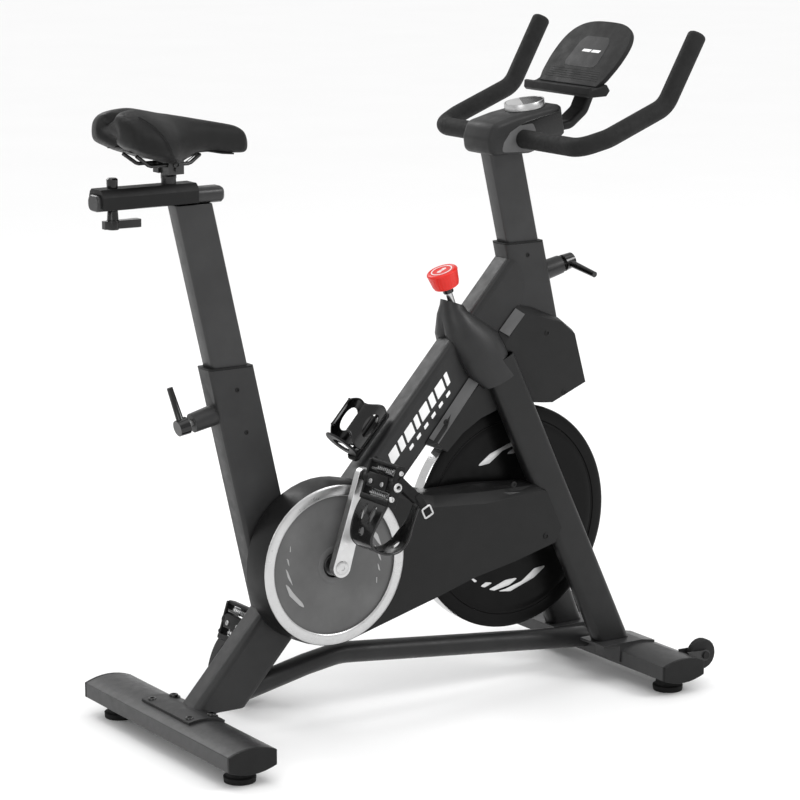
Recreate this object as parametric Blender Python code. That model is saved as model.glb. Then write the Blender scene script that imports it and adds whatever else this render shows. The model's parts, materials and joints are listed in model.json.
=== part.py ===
"""Exercise bike with a belt-driven flywheel, built as an assembly of separate pieces.

Frame of reference: +X points forward, +Y to the rider's left, +Z up.  The origin is on the floor,
in the middle of the bike's length and width.  Sizes in this file are in millimetres; MM turns
them into metres when a mesh is made.
"""
import math

import bmesh
import bpy
from mathutils import Matrix, Vector

MM = 0.001
GAP = 0.3                      # clearance between pieces that touch
WALL = 2.5                     # wall of the frame's steel tubes

# ---- driving dimensions, millimetres and degrees ----
REAR_BAR_X = -448.5            # rear stabiliser, across the bike
REAR_BAR_HALF = 265.0
FRONT_BAR_X = 499.5
FRONT_BAR_HALF = 252.5
BAR_WIDTH = 95.0
BAR_SIDE_LOW = 34.0
BAR_SIDE_HIGH = 61.0
BAR_ARCH = 10.0                # how far the top and the underside bulge past the side walls
REAR_FOOT_Y = 217.6
FRONT_FOOT_Y = 202.3
FOOT_RADIUS = 29.0
FOOT_TOP = 23.7

BEAM_ANGLE = 47.9              # main beam above the horizontal
BEAM_POINT = (5.0, 486.3)      # a point of the beam's centreline in the side plane
BEAM_DEPTH = 88.0
BEAM_HALF_WIDTH = 28.0
BEAM_CORNER = 12.0
BEAM_FOOT_Z = 60.0

SEAT_TILT = 12.9               # seat tube leans back
SEAT_SLEEVE_TOP = (-341.5, 679.0)
SEAT_SLEEVE = (88.0, 50.0)
SEAT_POST = (70.5, 38.0)
SEAT_POST_TOP_Z = 973.0
SEAT_POST_BOTTOM_Z = 530.0
SEAT_BOSS_Z = 606.0

BAR_TILT = 13.0                # handlebar tube leans back
BAR_SLEEVE_TOP = (287.0, 848.5)
BAR_SLEEVE = (84.5, 50.0)
BAR_SLEEVE_BOTTOM_Z = 650.0
BAR_POST = (70.5, 38.0)
BAR_POST_TOP_Z = 1028.0
BAR_POST_BOTTOM_Z = 720.0
BAR_BOSS_Z = 779.0

CRANK = (-169.8, 313.5)
CRANK_LENGTH = 170.0
CRANK_DIRECTION = (49.7, 162.6)
PULLEY_RADIUS = 118.0
PULLEY_Y = (-46.0, -34.0)

WHEEL = (266.2, 330.4)         # flywheel's centre
WHEEL_RADIUS = 214.5
WHEEL_HALF = 18.0
SMALL_PULLEY_RADIUS = 30.0

LEG_SECTION = (70.0, 32.0)
LEG_BOTTOM = (457.0, 75.0, 77.0)   # x, distance from the middle plane, z
LEG_TOP = (209.0, 45.3, 640.0)
DROPOUT_Y = (52.0, 57.0)

GUARD_BACK_Y = -31.0
GUARD_FACE_Y = -85.0
GUARD_WALL = 2.4
GUARD_RADIUS = 152.0
TRIM_OUTER = 146.7
TRIM_INNER = 126.5

ROD_TOP = (138.9, 748.8)       # brake rod where it leaves the crown cover
ROD_TILT = 20.5                # its lean back from the vertical

GRIP_RADIUS = 17.3
TUBE_RADIUS = 14.0
GRIP_START = 40.0

SADDLE_PIVOT = (-449.5, 1038.0)
SLIDER_X = (-589.5, -404.5)
RAIL_X = (-596.0, -349.0)
CLAMP_X = -558.5

WHEEL_SMALL = (577.5, 57.5)    # transport wheel's centre
WHEEL_SMALL_RADIUS = 29.7
WHEEL_SMALL_Y = 203.0


# ---------------------------------------------------------------- scene and materials

def clear_scene():
    for old in list(bpy.data.objects):
        bpy.data.objects.remove(old, do_unlink=True)


PALETTE = {
    "frame_black": ((0.045, 0.045, 0.047), 0.45, 0.3),
    "plastic_black": ((0.02, 0.02, 0.021), 0.55, 0.0),
    "plastic_grey": ((0.13, 0.13, 0.135), 0.5, 0.0),
    "rubber_black": ((0.012, 0.012, 0.012), 0.85, 0.0),
    "leather_black": ((0.012, 0.012, 0.013), 0.6, 0.0),
    "steel": ((0.55, 0.55, 0.56), 0.3, 1.0),
    "chrome": ((0.75, 0.75, 0.76), 0.12, 1.0),
    "aluminium": ((0.62, 0.62, 0.63), 0.35, 1.0),
    "iron": ((0.25, 0.25, 0.26), 0.5, 1.0),
    "red": ((0.8, 0.04, 0.03), 0.35, 0.0),
    "felt": ((0.16, 0.14, 0.12), 0.95, 0.0),
}


def paint(thing, finish):
    """Give an object a material of its own, from the palette."""
    colour, roughness, metallic = PALETTE[finish]
    material = bpy.data.materials.new(thing.name + "_" + finish)
    material.use_nodes = True
    shader = material.node_tree.nodes["Principled BSDF"]
    shader.inputs["Base Color"].default_value = (*colour, 1.0)
    shader.inputs["Roughness"].default_value = roughness
    shader.inputs["Metallic"].default_value = metallic
    thing.data.materials.append(material)


def side_point(point, y=0.0):
    """A point of the side plane (x, z) at a distance y to the left."""
    return Vector((point[0], y, point[1]))


def finish_mesh(name, mesh_data, finish, origin=(0.0, 0.0, 0.0), smooth=True):
    """Turn a bmesh in millimetres into an object whose origin lies at a chosen point."""
    start = Vector(origin)
    bmesh.ops.translate(mesh_data, verts=mesh_data.verts, vec=-start)
    bmesh.ops.scale(mesh_data, verts=mesh_data.verts, vec=(MM, MM, MM))
    bmesh.ops.recalc_face_normals(mesh_data, faces=mesh_data.faces)
    mesh = bpy.data.meshes.new(name)
    mesh_data.to_mesh(mesh)
    mesh_data.free()
    if smooth:
        mesh.shade_smooth()
        mesh.set_sharp_from_angle(angle=math.radians(34.0))
    thing = bpy.data.objects.new(name, mesh)
    thing.location = start * MM
    bpy.context.scene.collection.objects.link(thing)
    if finish:
        paint(thing, finish)
    return thing


def as_cutter(thing):
    thing.hide_render = True
    thing.display_type = "WIRE"
    return thing


def boolean(thing, tool, operation):
    """Cut with, or weld on, another object, which is then only a guide."""
    step = thing.modifiers.new(tool.name, "BOOLEAN")
    step.operation = operation
    step.solver = "EXACT"
    step.object = as_cutter(tool)


def cut(thing, *tools):
    for tool in tools:
        boolean(thing, tool, "DIFFERENCE")


def weld(thing, *tools):
    for tool in tools:
        boolean(thing, tool, "UNION")


def soften(thing, width, segments=2, angle=40.0):
    """Round an object's edges."""
    step = thing.modifiers.new("soft_edges", "BEVEL")
    step.width = width * MM
    step.segments = segments
    step.limit_method = "ANGLE"
    step.angle_limit = math.radians(angle)


# ---------------------------------------------------------------- outlines and rings

def rounded_rectangle(width, height, radius, steps=4):
    """Outline of a rectangle with round corners, about (0, 0)."""
    points = []
    centres = ((1, 1, 0), (-1, 1, 90), (-1, -1, 180), (1, -1, 270))
    for sign_u, sign_v, start in centres:
        for step in range(steps + 1):
            angle = math.radians(start + 90.0 * step / steps)
            u = sign_u * (width / 2 - radius) + radius * math.cos(angle)
            v = sign_v * (height / 2 - radius) + radius * math.sin(angle)
            points.append((u, v))
    return points


def ellipse(half_u, half_v, count=24):
    angles = [2 * math.pi * step / count for step in range(count)]
    return [(half_u * math.cos(angle), half_v * math.sin(angle)) for angle in angles]


def arc(centre, radius, start, end, count):
    """Points on a circle from one angle to another, in degrees."""
    points = []
    for step in range(count + 1):
        angle = math.radians(start + (end - start) * step / count)
        points.append((centre[0] + radius * math.cos(angle), centre[1] + radius * math.sin(angle)))
    return points


def place(outline, origin, u_axis, v_axis):
    """Lay an outline out in space."""
    origin, u_axis, v_axis = Vector(origin), Vector(u_axis), Vector(v_axis)
    return [origin + u_axis * u + v_axis * v for u, v in outline]


def bridge(mesh_data, first, second):
    count = len(first)
    for index in range(count):
        following = (index + 1) % count
        mesh_data.faces.new((first[index], first[following], second[following], second[index]))


def loft(name, rings, finish=None, origin=(0, 0, 0), closed=False, inner=None, smooth=True):
    """Skin a row of rings.  With inner rings the result is a tube with open ends."""
    mesh_data = bmesh.new()
    outside = [[mesh_data.verts.new(point) for point in ring] for ring in rings]
    for first, second in zip(outside, outside[1:]):
        bridge(mesh_data, first, second)
    if inner:
        inside = [[mesh_data.verts.new(point) for point in ring] for ring in inner]
        for first, second in zip(inside, inside[1:]):
            bridge(mesh_data, first, second)
        bridge(mesh_data, outside[0], inside[0])
        bridge(mesh_data, outside[-1], inside[-1])
    elif closed:
        bridge(mesh_data, outside[-1], outside[0])
    else:
        mesh_data.faces.new(outside[0])
        mesh_data.faces.new(outside[-1])
    return finish_mesh(name, mesh_data, finish, origin, smooth)


def plate(name, outline, low, high, finish=None, axis="Y", origin=(0, 0, 0), smooth=True):
    """Extrude an outline along one of the frame's axes, from low to high."""
    def lift(point, height):
        u, v = point
        if axis == "Y":
            return Vector((u, height, v))
        if axis == "Z":
            return Vector((u, v, height))
        return Vector((height, u, v))
    rings = [[lift(point, height) for point in outline] for height in (low, high)]
    return loft(name, rings, finish, origin, smooth=smooth)


def block(name, low, high, finish=None, origin=(0, 0, 0)):
    outline = [(low[0], low[2]), (high[0], low[2]), (high[0], high[2]), (low[0], high[2])]
    return plate(name, outline, low[1], high[1], finish, origin=origin, smooth=False)


def across(direction):
    """Two unit vectors square to a direction and to each other."""
    direction = Vector(direction).normalized()
    helper = Vector((0, 1, 0)) if abs(direction.y) < 0.9 else Vector((1, 0, 0))
    first = helper.cross(direction).normalized()
    return first, direction.cross(first)


def rod(name, start, end, radius, finish=None, origin=None, sides=20, end_radius=None):
    """A round bar, or a cone when end_radius differs."""
    start, end = Vector(start), Vector(end)
    u_axis, v_axis = across(end - start)
    last = radius if end_radius is None else end_radius
    rings = [place(ellipse(radius, radius, sides), start, u_axis, v_axis),
             place(ellipse(last, last, sides), end, u_axis, v_axis)]
    return loft(name, rings, finish, start if origin is None else origin)


def turned(name, profile, centre, axis, finish=None, sides=32, closed=False):
    """Turn a profile of (radius, height) pairs about an axis through a centre.

    An open profile starts and ends on the axis side and gets flat ends; a closed one is a ring.
    """
    centre, axis = Vector(centre), Vector(axis).normalized()
    u_axis, v_axis = across(axis)
    rings = []
    for radius, height in profile:
        rings.append(place(ellipse(radius, radius, sides), centre + axis * height, u_axis, v_axis))
    return loft(name, rings, finish, centre, closed=closed)


def smooth_path(corners, radius, steps=5):
    """A route through corner points whose corners are rounded by arcs."""
    corners = [Vector(corner) for corner in corners]
    points = [corners[0]]
    for before, corner, after in zip(corners, corners[1:], corners[2:]):
        to_before = (before - corner).normalized()
        to_after = (after - corner).normalized()
        half = to_before.angle(to_after) / 2
        reach = radius / math.tan(half)
        centre = corner + (to_before + to_after).normalized() * (radius / math.sin(half))
        start = (corner + to_before * reach - centre).normalized()
        end = (corner + to_after * reach - centre).normalized()
        for step in range(steps + 1):
            points.append(centre + start.slerp(end, step / steps) * radius)
    points.append(corners[-1])
    return points


def sweep(name, points, outline, finish=None, origin=(0, 0, 0), side=(0, 1, 0), inner=None,
          closed=False):
    """Carry an outline along a route; side is the direction that the outline's v axis keeps to."""
    rings, holes = [], []
    count = len(points)
    for index, point in enumerate(points):
        before = points[index - 1] if closed or index else point
        after = points[(index + 1) % count] if closed or index + 1 < count else point
        along = (after - before).normalized()
        u_axis = Vector(side).cross(along).normalized()
        v_axis = along.cross(u_axis)
        rings.append(place(outline, point, u_axis, v_axis))
        if inner:
            holes.append(place(inner, point, u_axis, v_axis))
    return loft(name, rings, finish, origin, closed=closed, inner=holes or None)


# ---------------------------------------------------------------- directions of the frame

def in_side_plane(angle):
    """Unit vector in the side plane at an angle above +X, in degrees."""
    turn = math.radians(angle)
    return Vector((math.cos(turn), 0, math.sin(turn)))


BEAM_ALONG = in_side_plane(BEAM_ANGLE)
BEAM_UP = in_side_plane(BEAM_ANGLE + 90.0)          # out of the beam's upper face
SEAT_ALONG = in_side_plane(90.0 + SEAT_TILT)
SEAT_FRONT = in_side_plane(SEAT_TILT)
BAR_ALONG = in_side_plane(90.0 + BAR_TILT)
BAR_FRONT = in_side_plane(BAR_TILT)
ROD_DOWN = in_side_plane(-90.0 + ROD_TILT)
ACROSS = Vector((0, 1, 0))


def on_line(point, along, z):
    """The point of a slanted line at a height z."""
    start = side_point(point)
    return start + along * ((z - point[1]) / along.z)


def beam_point(along, up=0.0, y=0.0):
    """A point given by its distance along the beam, above its centreline and to the left."""
    return side_point(BEAM_POINT, y) + BEAM_ALONG * along + BEAM_UP * up


def level_ring(outline, point, along, front):
    """A tube's outline where a level plane cuts the tube, so that its end is horizontal."""
    ring = []
    for u, v in outline:
        corner = Vector(point) + front * u + ACROSS * v
        ring.append(corner - along * ((corner.z - point[2]) / along.z))
    return ring


# ---------------------------------------------------------------- stabilisers and feet

def bar_outline(inset=0.0, steps=8):
    """Section of a stabiliser: upright sides, arched top and underside."""
    half = BAR_WIDTH / 2 - inset
    outline = []
    for step in range(steps + 1):
        x = half * (2 * step / steps - 1)
        bulge = BAR_ARCH * (1 - (x / half) ** 2)
        outline.append((x, BAR_SIDE_LOW + inset - bulge))
    for step in range(steps + 1):
        x = half * (1 - 2 * step / steps)
        bulge = BAR_ARCH * (1 - (x / half) ** 2)
        outline.append((x, BAR_SIDE_HIGH - inset + bulge))
    return outline


def bar_ring(x, y, inset=0.0):
    return [Vector((x + u, y, v)) for u, v in bar_outline(inset)]


CAP_THICKNESS = 6.0


def stabiliser(name, x, half_length, foot_y):
    half = half_length - CAP_THICKNESS - GAP
    outer = [bar_ring(x, y) for y in (-half, half)]
    inner = [bar_ring(x, y, WALL) for y in (-half, half)]
    tube = loft(name, outer, "frame_black", inner=inner)
    for side in (-1, 1):
        hole = rod(name + "_foot_hole", (x, side * foot_y, 10), (x, side * foot_y, 40), 5.6)
        cut(tube, hole)
    return tube


def end_cap(name, x, half_length, side):
    """Plastic cap: a plate over the tube's end and a plug inside it."""
    shoulder = half_length - CAP_THICKNESS
    fit = WALL + GAP
    rings = [bar_ring(x, side * half_length, 1.0), bar_ring(x, side * (half_length - 1.0)),
             bar_ring(x, side * shoulder), bar_ring(x, side * shoulder, fit),
             bar_ring(x, side * (shoulder - 14.0), fit + 0.6)]
    return loft(name, rings, "plastic_black")


def foot(name, x, y):
    """Levelling foot: a two-step rubber disc on a threaded stud."""
    profile = [(FOOT_RADIUS - 1, 0.0), (FOOT_RADIUS, 10.0), (FOOT_RADIUS - 5, 12.0),
               (FOOT_RADIUS - 7, 21.5), (5.0, 21.5), (5.0, 44.0)]
    return turned(name, profile, (x, y, 0), (0, 0, 1), "rubber_black", sides=20)


def make_stabilisers():
    stabiliser("rear_stabiliser", REAR_BAR_X, REAR_BAR_HALF, REAR_FOOT_Y)
    front = stabiliser("front_stabiliser", FRONT_BAR_X, FRONT_BAR_HALF, FRONT_FOOT_Y)
    for side, word in ((-1, "right"), (1, "left")):
        end_cap("rear_end_cap_" + word, REAR_BAR_X, REAR_BAR_HALF, side)
        end_cap("front_end_cap_" + word, FRONT_BAR_X, FRONT_BAR_HALF, side)
        foot("foot_rear_" + word, REAR_BAR_X, side * REAR_FOOT_Y)
        foot("foot_front_" + word, FRONT_BAR_X, side * FRONT_FOOT_Y)
        weld(front, leg_plate(side), *wheel_bracket(side))
        bolt_ends = [side_point(WHEEL_SMALL, side * WHEEL_SMALL_Y + reach) for reach in (-20, 20)]
        cut(front, rod("wheel_bolt_hole", *bolt_ends, 4.4, sides=12))


def leg_plate(side):
    """Plate under a fork leg's foot, which wraps the rear edge of the front stabiliser."""
    low, high = sorted((side * 42.0, side * 118.0))
    top, thick = LEG_BOTTOM[2] - GAP, 5.0
    rear = FRONT_BAR_X - BAR_WIDTH / 2
    outline = [(rear - 40, top), (rear - 40, top - thick), (rear - 3, top - thick),
               (rear - 3, 40), (rear + 3, 40), (rear + 3, 55), (FRONT_BAR_X, 66), (FRONT_BAR_X + 30, 62),
               (FRONT_BAR_X + 34, top - 6), (FRONT_BAR_X + 4, top)]
    return plate("leg_plate", outline, low, high)


def wheel_bracket(side):
    """Two ears that carry a transport wheel in front of the stabiliser."""
    front = FRONT_BAR_X + BAR_WIDTH / 2
    ears = []
    for inward in (-15.5, 12.5):
        low = side * WHEEL_SMALL_Y + inward
        outline = [(front - 4, 40), (WHEEL_SMALL[0] - 4, WHEEL_SMALL[1] - 11)]
        outline += arc(WHEEL_SMALL, 11.0, -70, 110, 6)
        outline += [(front - 12, 69)]
        ears.append(plate("wheel_ear", outline, low, low + 3.0))
    return ears


def transport_wheel(name, side):
    """Small wheel with its bolt, which turns in the ears."""
    rim = WHEEL_SMALL_RADIUS
    half = [(7.5, -19.0), (7.5, -16.3), (4.0, -16.3), (4.0, -11.0), (rim - 3.0, -9.5), (rim, -6.0)]
    profile = half + [(radius, -height) for radius, height in reversed(half)]
    centre = side_point(WHEEL_SMALL, side * WHEEL_SMALL_Y)
    return turned(name, profile, centre, ACROSS, "rubber_black", sides=20)


# ---------------------------------------------------------------- main beam and welded tubes

def beam_rings(start, end, grow=0.0, inset=0.0):
    size = 2 * (grow - inset)
    outline = rounded_rectangle(BEAM_DEPTH + size, 2 * BEAM_HALF_WIDTH + size, BEAM_CORNER - inset)
    return [place(outline, beam_point(along), BEAM_UP, ACROSS) for along in (start, end)]


BEAM_START, BEAM_END = -640.0, 520.0


def beam_body(name="beam_body", grow=GAP):
    return loft(name, beam_rings(BEAM_START, BEAM_END, grow))


def sleeve_body(top, along, front, size, bottom_z, grow=GAP):
    """Solid of a sleeve's outside, for cutting its neighbours."""
    outline = rounded_rectangle(size[0] + 2 * grow, size[1] + 2 * grow, 8.0 + grow)
    ends = [on_line(top, along, bottom_z), on_line(top, along, top[1] + 60.0)]
    return loft("sleeve_body", [place(outline, point, front, ACROSS) for point in ends])


def make_main_beam():
    inner = beam_rings(BEAM_START, BEAM_END, inset=3.5)
    beam = loft("main_beam", beam_rings(BEAM_START, BEAM_END), "frame_black", inner=inner)
    floor_cut = block("beam_floor_cut", (-700, -60, -100), (-100, 60, BEAM_FOOT_Z))
    crest = [(236, 826), (256, 822), (270, 808), (279, 788), (281, 768), (277, 748), (268, 715),
             (255, 680), (215, 590), (520, 590), (520, 1000), (180, 1000)]
    end_cut = plate("beam_end_cut", crest, -60, 60)
    stand = loft("beam_stand", [bar_ring(REAR_BAR_X, y, -GAP) for y in (-60, 60)])
    cut(beam, floor_cut, end_cut, stand)
    foot_plate = base_plate()
    shell = rod("crank_shell", side_point(CRANK, -28.4), side_point(CRANK, 40.0), 24.0)
    weld(beam, foot_plate, shell)
    bore = rod("crank_bore", side_point(CRANK, -60.0), side_point(CRANK, 60.0), 9.2)
    rod_hole = rod("rod_hole", side_point(ROD_TOP), side_point(ROD_TOP) + ROD_DOWN * 160.0, 8.0)
    sleeve = sleeve_body(BAR_SLEEVE_TOP, BAR_ALONG, BAR_FRONT, BAR_SLEEVE, BAR_SLEEVE_BOTTOM_Z - 20)
    cut(beam, bore, rod_hole, sleeve, rail_body())
    return beam


def base_plate():
    """Curved plate that bolts the beam's foot down on the rear stabiliser."""
    top, bottom = [], []
    half = BAR_WIDTH / 2
    for step in range(7):
        x = -25.0 + (half + 25.0) * step / 6
        rise = BAR_SIDE_HIGH + BAR_ARCH * (1 - (x / half) ** 2)
        bottom.append((REAR_BAR_X + x, rise + GAP))
        top.append((REAR_BAR_X + x, rise + 4.8))
    return plate("base_plate", bottom + top[::-1], -86.0, 86.0)


def sleeve(name, top, along, front, size, bottom_z):
    """Hollow upright with a level top end."""
    outer_line = rounded_rectangle(size[0], size[1], 8.0)
    inner_line = rounded_rectangle(size[0] - 2 * WALL, size[1] - 2 * WALL, 8.0 - WALL)
    bottom = on_line(top, along, bottom_z)
    outer = [level_ring(outer_line, side_point(top), along, front), place(outer_line, bottom, front, ACROSS)]
    inner = [level_ring(inner_line, side_point(top), along, front), place(inner_line, bottom, front, ACROSS)]
    return loft(name, outer, "frame_black", inner=inner)


def bushing(name, top, along, front, size, post):
    """Plastic liner in the sleeve's mouth, with a lip on the sleeve's end."""
    inner_line = rounded_rectangle(post[0] + 0.8, post[1] + 0.8, 6.4)
    plug = rounded_rectangle(size[0] - 2 * WALL - 0.6, size[1] - 2 * WALL - 0.6, 5.2)
    lip = rounded_rectangle(size[0], size[1], 8.0)
    mouth = side_point(top)
    rest = mouth + along * (GAP / along.z)
    high = mouth + along * (3.2 / along.z)
    low = mouth - along * 38.0
    outer = [level_ring(lip, high, along, front), level_ring(lip, rest, along, front),
             level_ring(plug, rest, along, front), place(plug, low, front, ACROSS)]
    holes = [level_ring(inner_line, high, along, front), place(inner_line, low, front, ACROSS)]
    return loft(name, outer, "plastic_black", inner=holes)


def boss(point, direction, start, end):
    """Round socket welded to a sleeve, which guides the clamping pin."""
    return rod("pin_boss", point + direction * start, point + direction * end, 19.0, sides=24,
               end_radius=17.5)


def pin_bore(point, direction, end):
    return rod("pin_bore", point + direction * 30.0, point + direction * (end + 5.0), 6.5)


SEAT_PIN_POINT = on_line(SEAT_SLEEVE_TOP, SEAT_ALONG, SEAT_BOSS_Z)
BAR_PIN_POINT = on_line(BAR_SLEEVE_TOP, BAR_ALONG, BAR_BOSS_Z)
SEAT_BOSS_END = 88.0
BAR_BOSS_END = 83.0


def make_sleeves():
    seat = sleeve("seat_sleeve", SEAT_SLEEVE_TOP, SEAT_ALONG, SEAT_FRONT, SEAT_SLEEVE, 215.0)
    cut(seat, beam_body())
    weld(seat, boss(SEAT_PIN_POINT, -SEAT_FRONT, SEAT_SLEEVE[0] / 2 - 1.0, SEAT_BOSS_END))
    cut(seat, pin_bore(SEAT_PIN_POINT, -SEAT_FRONT, SEAT_BOSS_END))
    bushing("seat_sleeve_bushing", SEAT_SLEEVE_TOP, SEAT_ALONG, SEAT_FRONT, SEAT_SLEEVE, SEAT_POST)
    front = sleeve("handlebar_sleeve", BAR_SLEEVE_TOP, BAR_ALONG, BAR_FRONT, BAR_SLEEVE,
                   BAR_SLEEVE_BOTTOM_Z)
    weld(front, boss(BAR_PIN_POINT, BAR_FRONT, BAR_SLEEVE[0] / 2 - 1.0, BAR_BOSS_END))
    cut(front, pin_bore(BAR_PIN_POINT, BAR_FRONT, BAR_BOSS_END))
    bushing("handlebar_sleeve_bushing", BAR_SLEEVE_TOP, BAR_ALONG, BAR_FRONT, BAR_SLEEVE, BAR_POST)


RAIL_RADIUS = 20.0


def rail_path():
    corners = [(REAR_BAR_X + BAR_WIDTH / 2 + GAP, 0, 65.0), (-182, 0, 110.5), (-110, 0, 121.0),
               (FRONT_BAR_X - BAR_WIDTH / 2 - GAP, 0, 62.5)]
    return smooth_path(corners, 150.0, 3)


def rail_rings(radius):
    """Rings of the lower rail; its two ends are cut upright to meet the stabilisers."""
    points = rail_path()
    rings = []
    for index, point in enumerate(points):
        before = points[max(index - 1, 0)]
        after = points[min(index + 1, len(points) - 1)]
        along = (after - before).normalized()
        up_axis = Vector((0, 1, 0)).cross(along) * -1.0
        if index in (0, len(points) - 1):
            up_axis = Vector((0, 0, 1.0 / along.x))
        rings.append(place(ellipse(radius, radius, 16), point, ACROSS, up_axis))
    return rings


def rail_body():
    return loft("rail_body", rail_rings(RAIL_RADIUS + GAP))


def make_lower_rail():
    tube = loft("lower_rail", rail_rings(RAIL_RADIUS), "frame_black", inner=rail_rings(RAIL_RADIUS - WALL))
    for side in (-1, 1):
        cut(tube, block("rail_plate_cut", (405, side * 80 - 39, 70), (470, side * 80 + 39, 80)))
    return tube


# ---------------------------------------------------------------- fork

def leg_axis(side):
    bottom = Vector((LEG_BOTTOM[0], side * LEG_BOTTOM[1], LEG_BOTTOM[2]))
    top = Vector((LEG_TOP[0], side * LEG_TOP[1], LEG_TOP[2]))
    return bottom, top


def leg_frame(side):
    bottom, top = leg_axis(side)
    along = (top - bottom).normalized()
    front = ACROSS.cross(along).normalized()
    return bottom, top, along, front, along.cross(front)


def leg_rings(side, grow=0.0, inset=0.0, extra=0.0):
    bottom, top, along, front, sideways = leg_frame(side)
    change = 2 * (grow - inset)
    outline = rounded_rectangle(LEG_SECTION[0] + change, LEG_SECTION[1] + change,
                                13.0 + grow - inset, steps=5)
    low = []
    for point in place(outline, bottom, front, sideways):
        low.append(point - along * ((point.z - bottom.z + extra) / along.z))
    return [low, place(outline, top + along * extra, front, sideways)]


def leg_body(side):
    return loft("leg_body", leg_rings(side, grow=GAP, extra=1.0))


def fork_leg(name, side):
    """Oval leg with the dropout plate that holds the flywheel's axle."""
    leg = loft(name, leg_rings(side), "frame_black", inner=leg_rings(side, inset=WALL))
    hole = rod("axle_hole", side_point(WHEEL, side * 40), side_point(WHEEL, side * 70), 6.4)
    weld(leg, dropout(side))
    cut(leg, hole)
    return leg


def dropout(side, grow=0.0):
    """Plate behind a fork leg, with a round end about the flywheel's axle."""
    low, high = sorted((side * (DROPOUT_Y[0] - grow), side * (DROPOUT_Y[1] + grow)))
    outline = [(342, 302 - grow), (342, 366 + grow)] + arc(WHEEL, 20.0 + grow, 95, 265, 8)
    return plate("dropout", outline, low, high)


def crown_rings(side, grow=0.0):
    """Rings of half the crown cover: from the brake rod's collar, over the beam's side, to a leg."""
    stations = [((139.5, 0, 749.0), 22.5, 22.5, -0.35), ((143.0, -2, 738.0), 26.0, 24.5, -0.3),
                ((157.0, -8, 719.0), 42.0, 32.0, -0.2), ((171.5, -17, 690.0), 54.0, 37.0, 0.0),
                ((184.0, -29, 658.0), 50.0, 33.0, 0.2), ((196.0, -39, 630.0), 46.0, 26.0, 0.34),
                ((217.0, -46, 604.0), 39.0, 20.5, 0.42)]
    rings = []
    drop = 0.2 * (1 + side)        # keeps the two halves' collars from lying face on face
    for centre, half_x, half_y, slope in stations:
        point = Vector((centre[0] + drop / 2, -side * centre[1], centre[2] - drop))
        u_axis = Vector((1, 0, slope)).normalized()
        rings.append(place(ellipse(half_x + grow, half_y + grow, 20), point, u_axis, ACROSS))
    return rings


def make_fork():
    fork_leg("fork_leg_right", -1)
    fork_leg("fork_leg_left", 1)
    cover = loft("fork_crown_cover", crown_rings(-1), "plastic_black")
    weld(cover, loft("crown_half", crown_rings(1)))
    hollow = block("crown_middle_cut", (60, -27.0, 540), (330, 27.0, 640))
    cut(cover, beam_body(), leg_body(-1), leg_body(1), hollow)
    cut(cover, rod("rod_passage", side_point(ROD_TOP) - ROD_DOWN * 30, side_point(ROD_TOP) + ROD_DOWN * 60, 8.0))
    return cover


# ---------------------------------------------------------------- front shroud

def shroud_outline(step_in=0.0):
    """Side outline of the plastic housing under the beam's top, or of its narrower outer face."""
    lower = [(x, WHEEL[1] + math.sqrt((WHEEL_RADIUS + 9.0) ** 2 - (x - WHEEL[0]) ** 2))
             for x in (100.0, 135.0, 175.0, 220.0, 270.0, 318.0)]
    edge = step_in
    return [(62 + edge, 497 + 0.2 * edge)] + lower + [
        (338, 546), (419 - 0.3 * edge, 577), (393 - 0.3 * edge, 677 - 0.4 * edge),
        (360, 703 - edge * 0.5), (300, 728 - edge), (268 + 0.3 * edge, 735 - edge),
        (246 + edge, 715 - 0.7 * edge), (160 + edge, 612 - 0.8 * edge)]


def make_shroud():
    levels = ((-44.0, 14.0), (-29.0, 0.0), (29.0, 0.0), (44.0, 14.0))
    rings = [[Vector((x, y, z)) for x, z in shroud_outline(edge)] for y, edge in levels]
    shroud = loft("front_shroud", rings, "plastic_black")
    cavity_line = [(150, 560), (190, 556), (220, 553.5), (262, 556.5), (330, 556), (408, 582),
                   (384, 672), (355, 698), (300, 716), (268, 716), (190, 622)]
    cavity = plate("shroud_cavity", cavity_line, -40.5, 40.5)
    slot = block("brake_slot", (178, -17, 500), (250, 17, 600))
    sleeve_tool = sleeve_body(BAR_SLEEVE_TOP, BAR_ALONG, BAR_FRONT, BAR_SLEEVE, BAR_SLEEVE_BOTTOM_Z - 1)
    passage = rod("rod_passage", side_point(ROD_TOP) + ROD_DOWN * 90, side_point(ROD_TOP) + ROD_DOWN * 190, 8.0)
    crown_tools = [loft("crown_tool", crown_rings(side, 0.5)) for side in (-1, 1)]
    cut(shroud, cavity, slot, passage, beam_body(), sleeve_tool, leg_body(-1), leg_body(1), *crown_tools)
    return shroud


# ---------------------------------------------------------------- belt drive and its guard

def guard_outline(radius, top_line, inset=0.0):
    """Outline of the belt guard: a round end about the crank and an arm to the flywheel's axle."""
    crank_end = arc(CRANK, radius, 74.0, 288.0, 28)
    lower = [(45.5, 219 + inset), (136.5, 246 + inset), (228.5, 264 + inset),
             (318 - inset, 287 + inset), (333 - inset, 313)]
    upper = [(x, z - inset) for x, z in top_line]
    return crank_end + lower + upper


BACK_TOP = [(299, 394), (276, 403), (163, 413), (58, 414)]
MIDDLE_TOP = [(299, 392), (278, 400), (163, 402), (52, 409)]
FACE_TOP = [(298, 388), (290, 391), (163, 383), (44, 391)]


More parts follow.
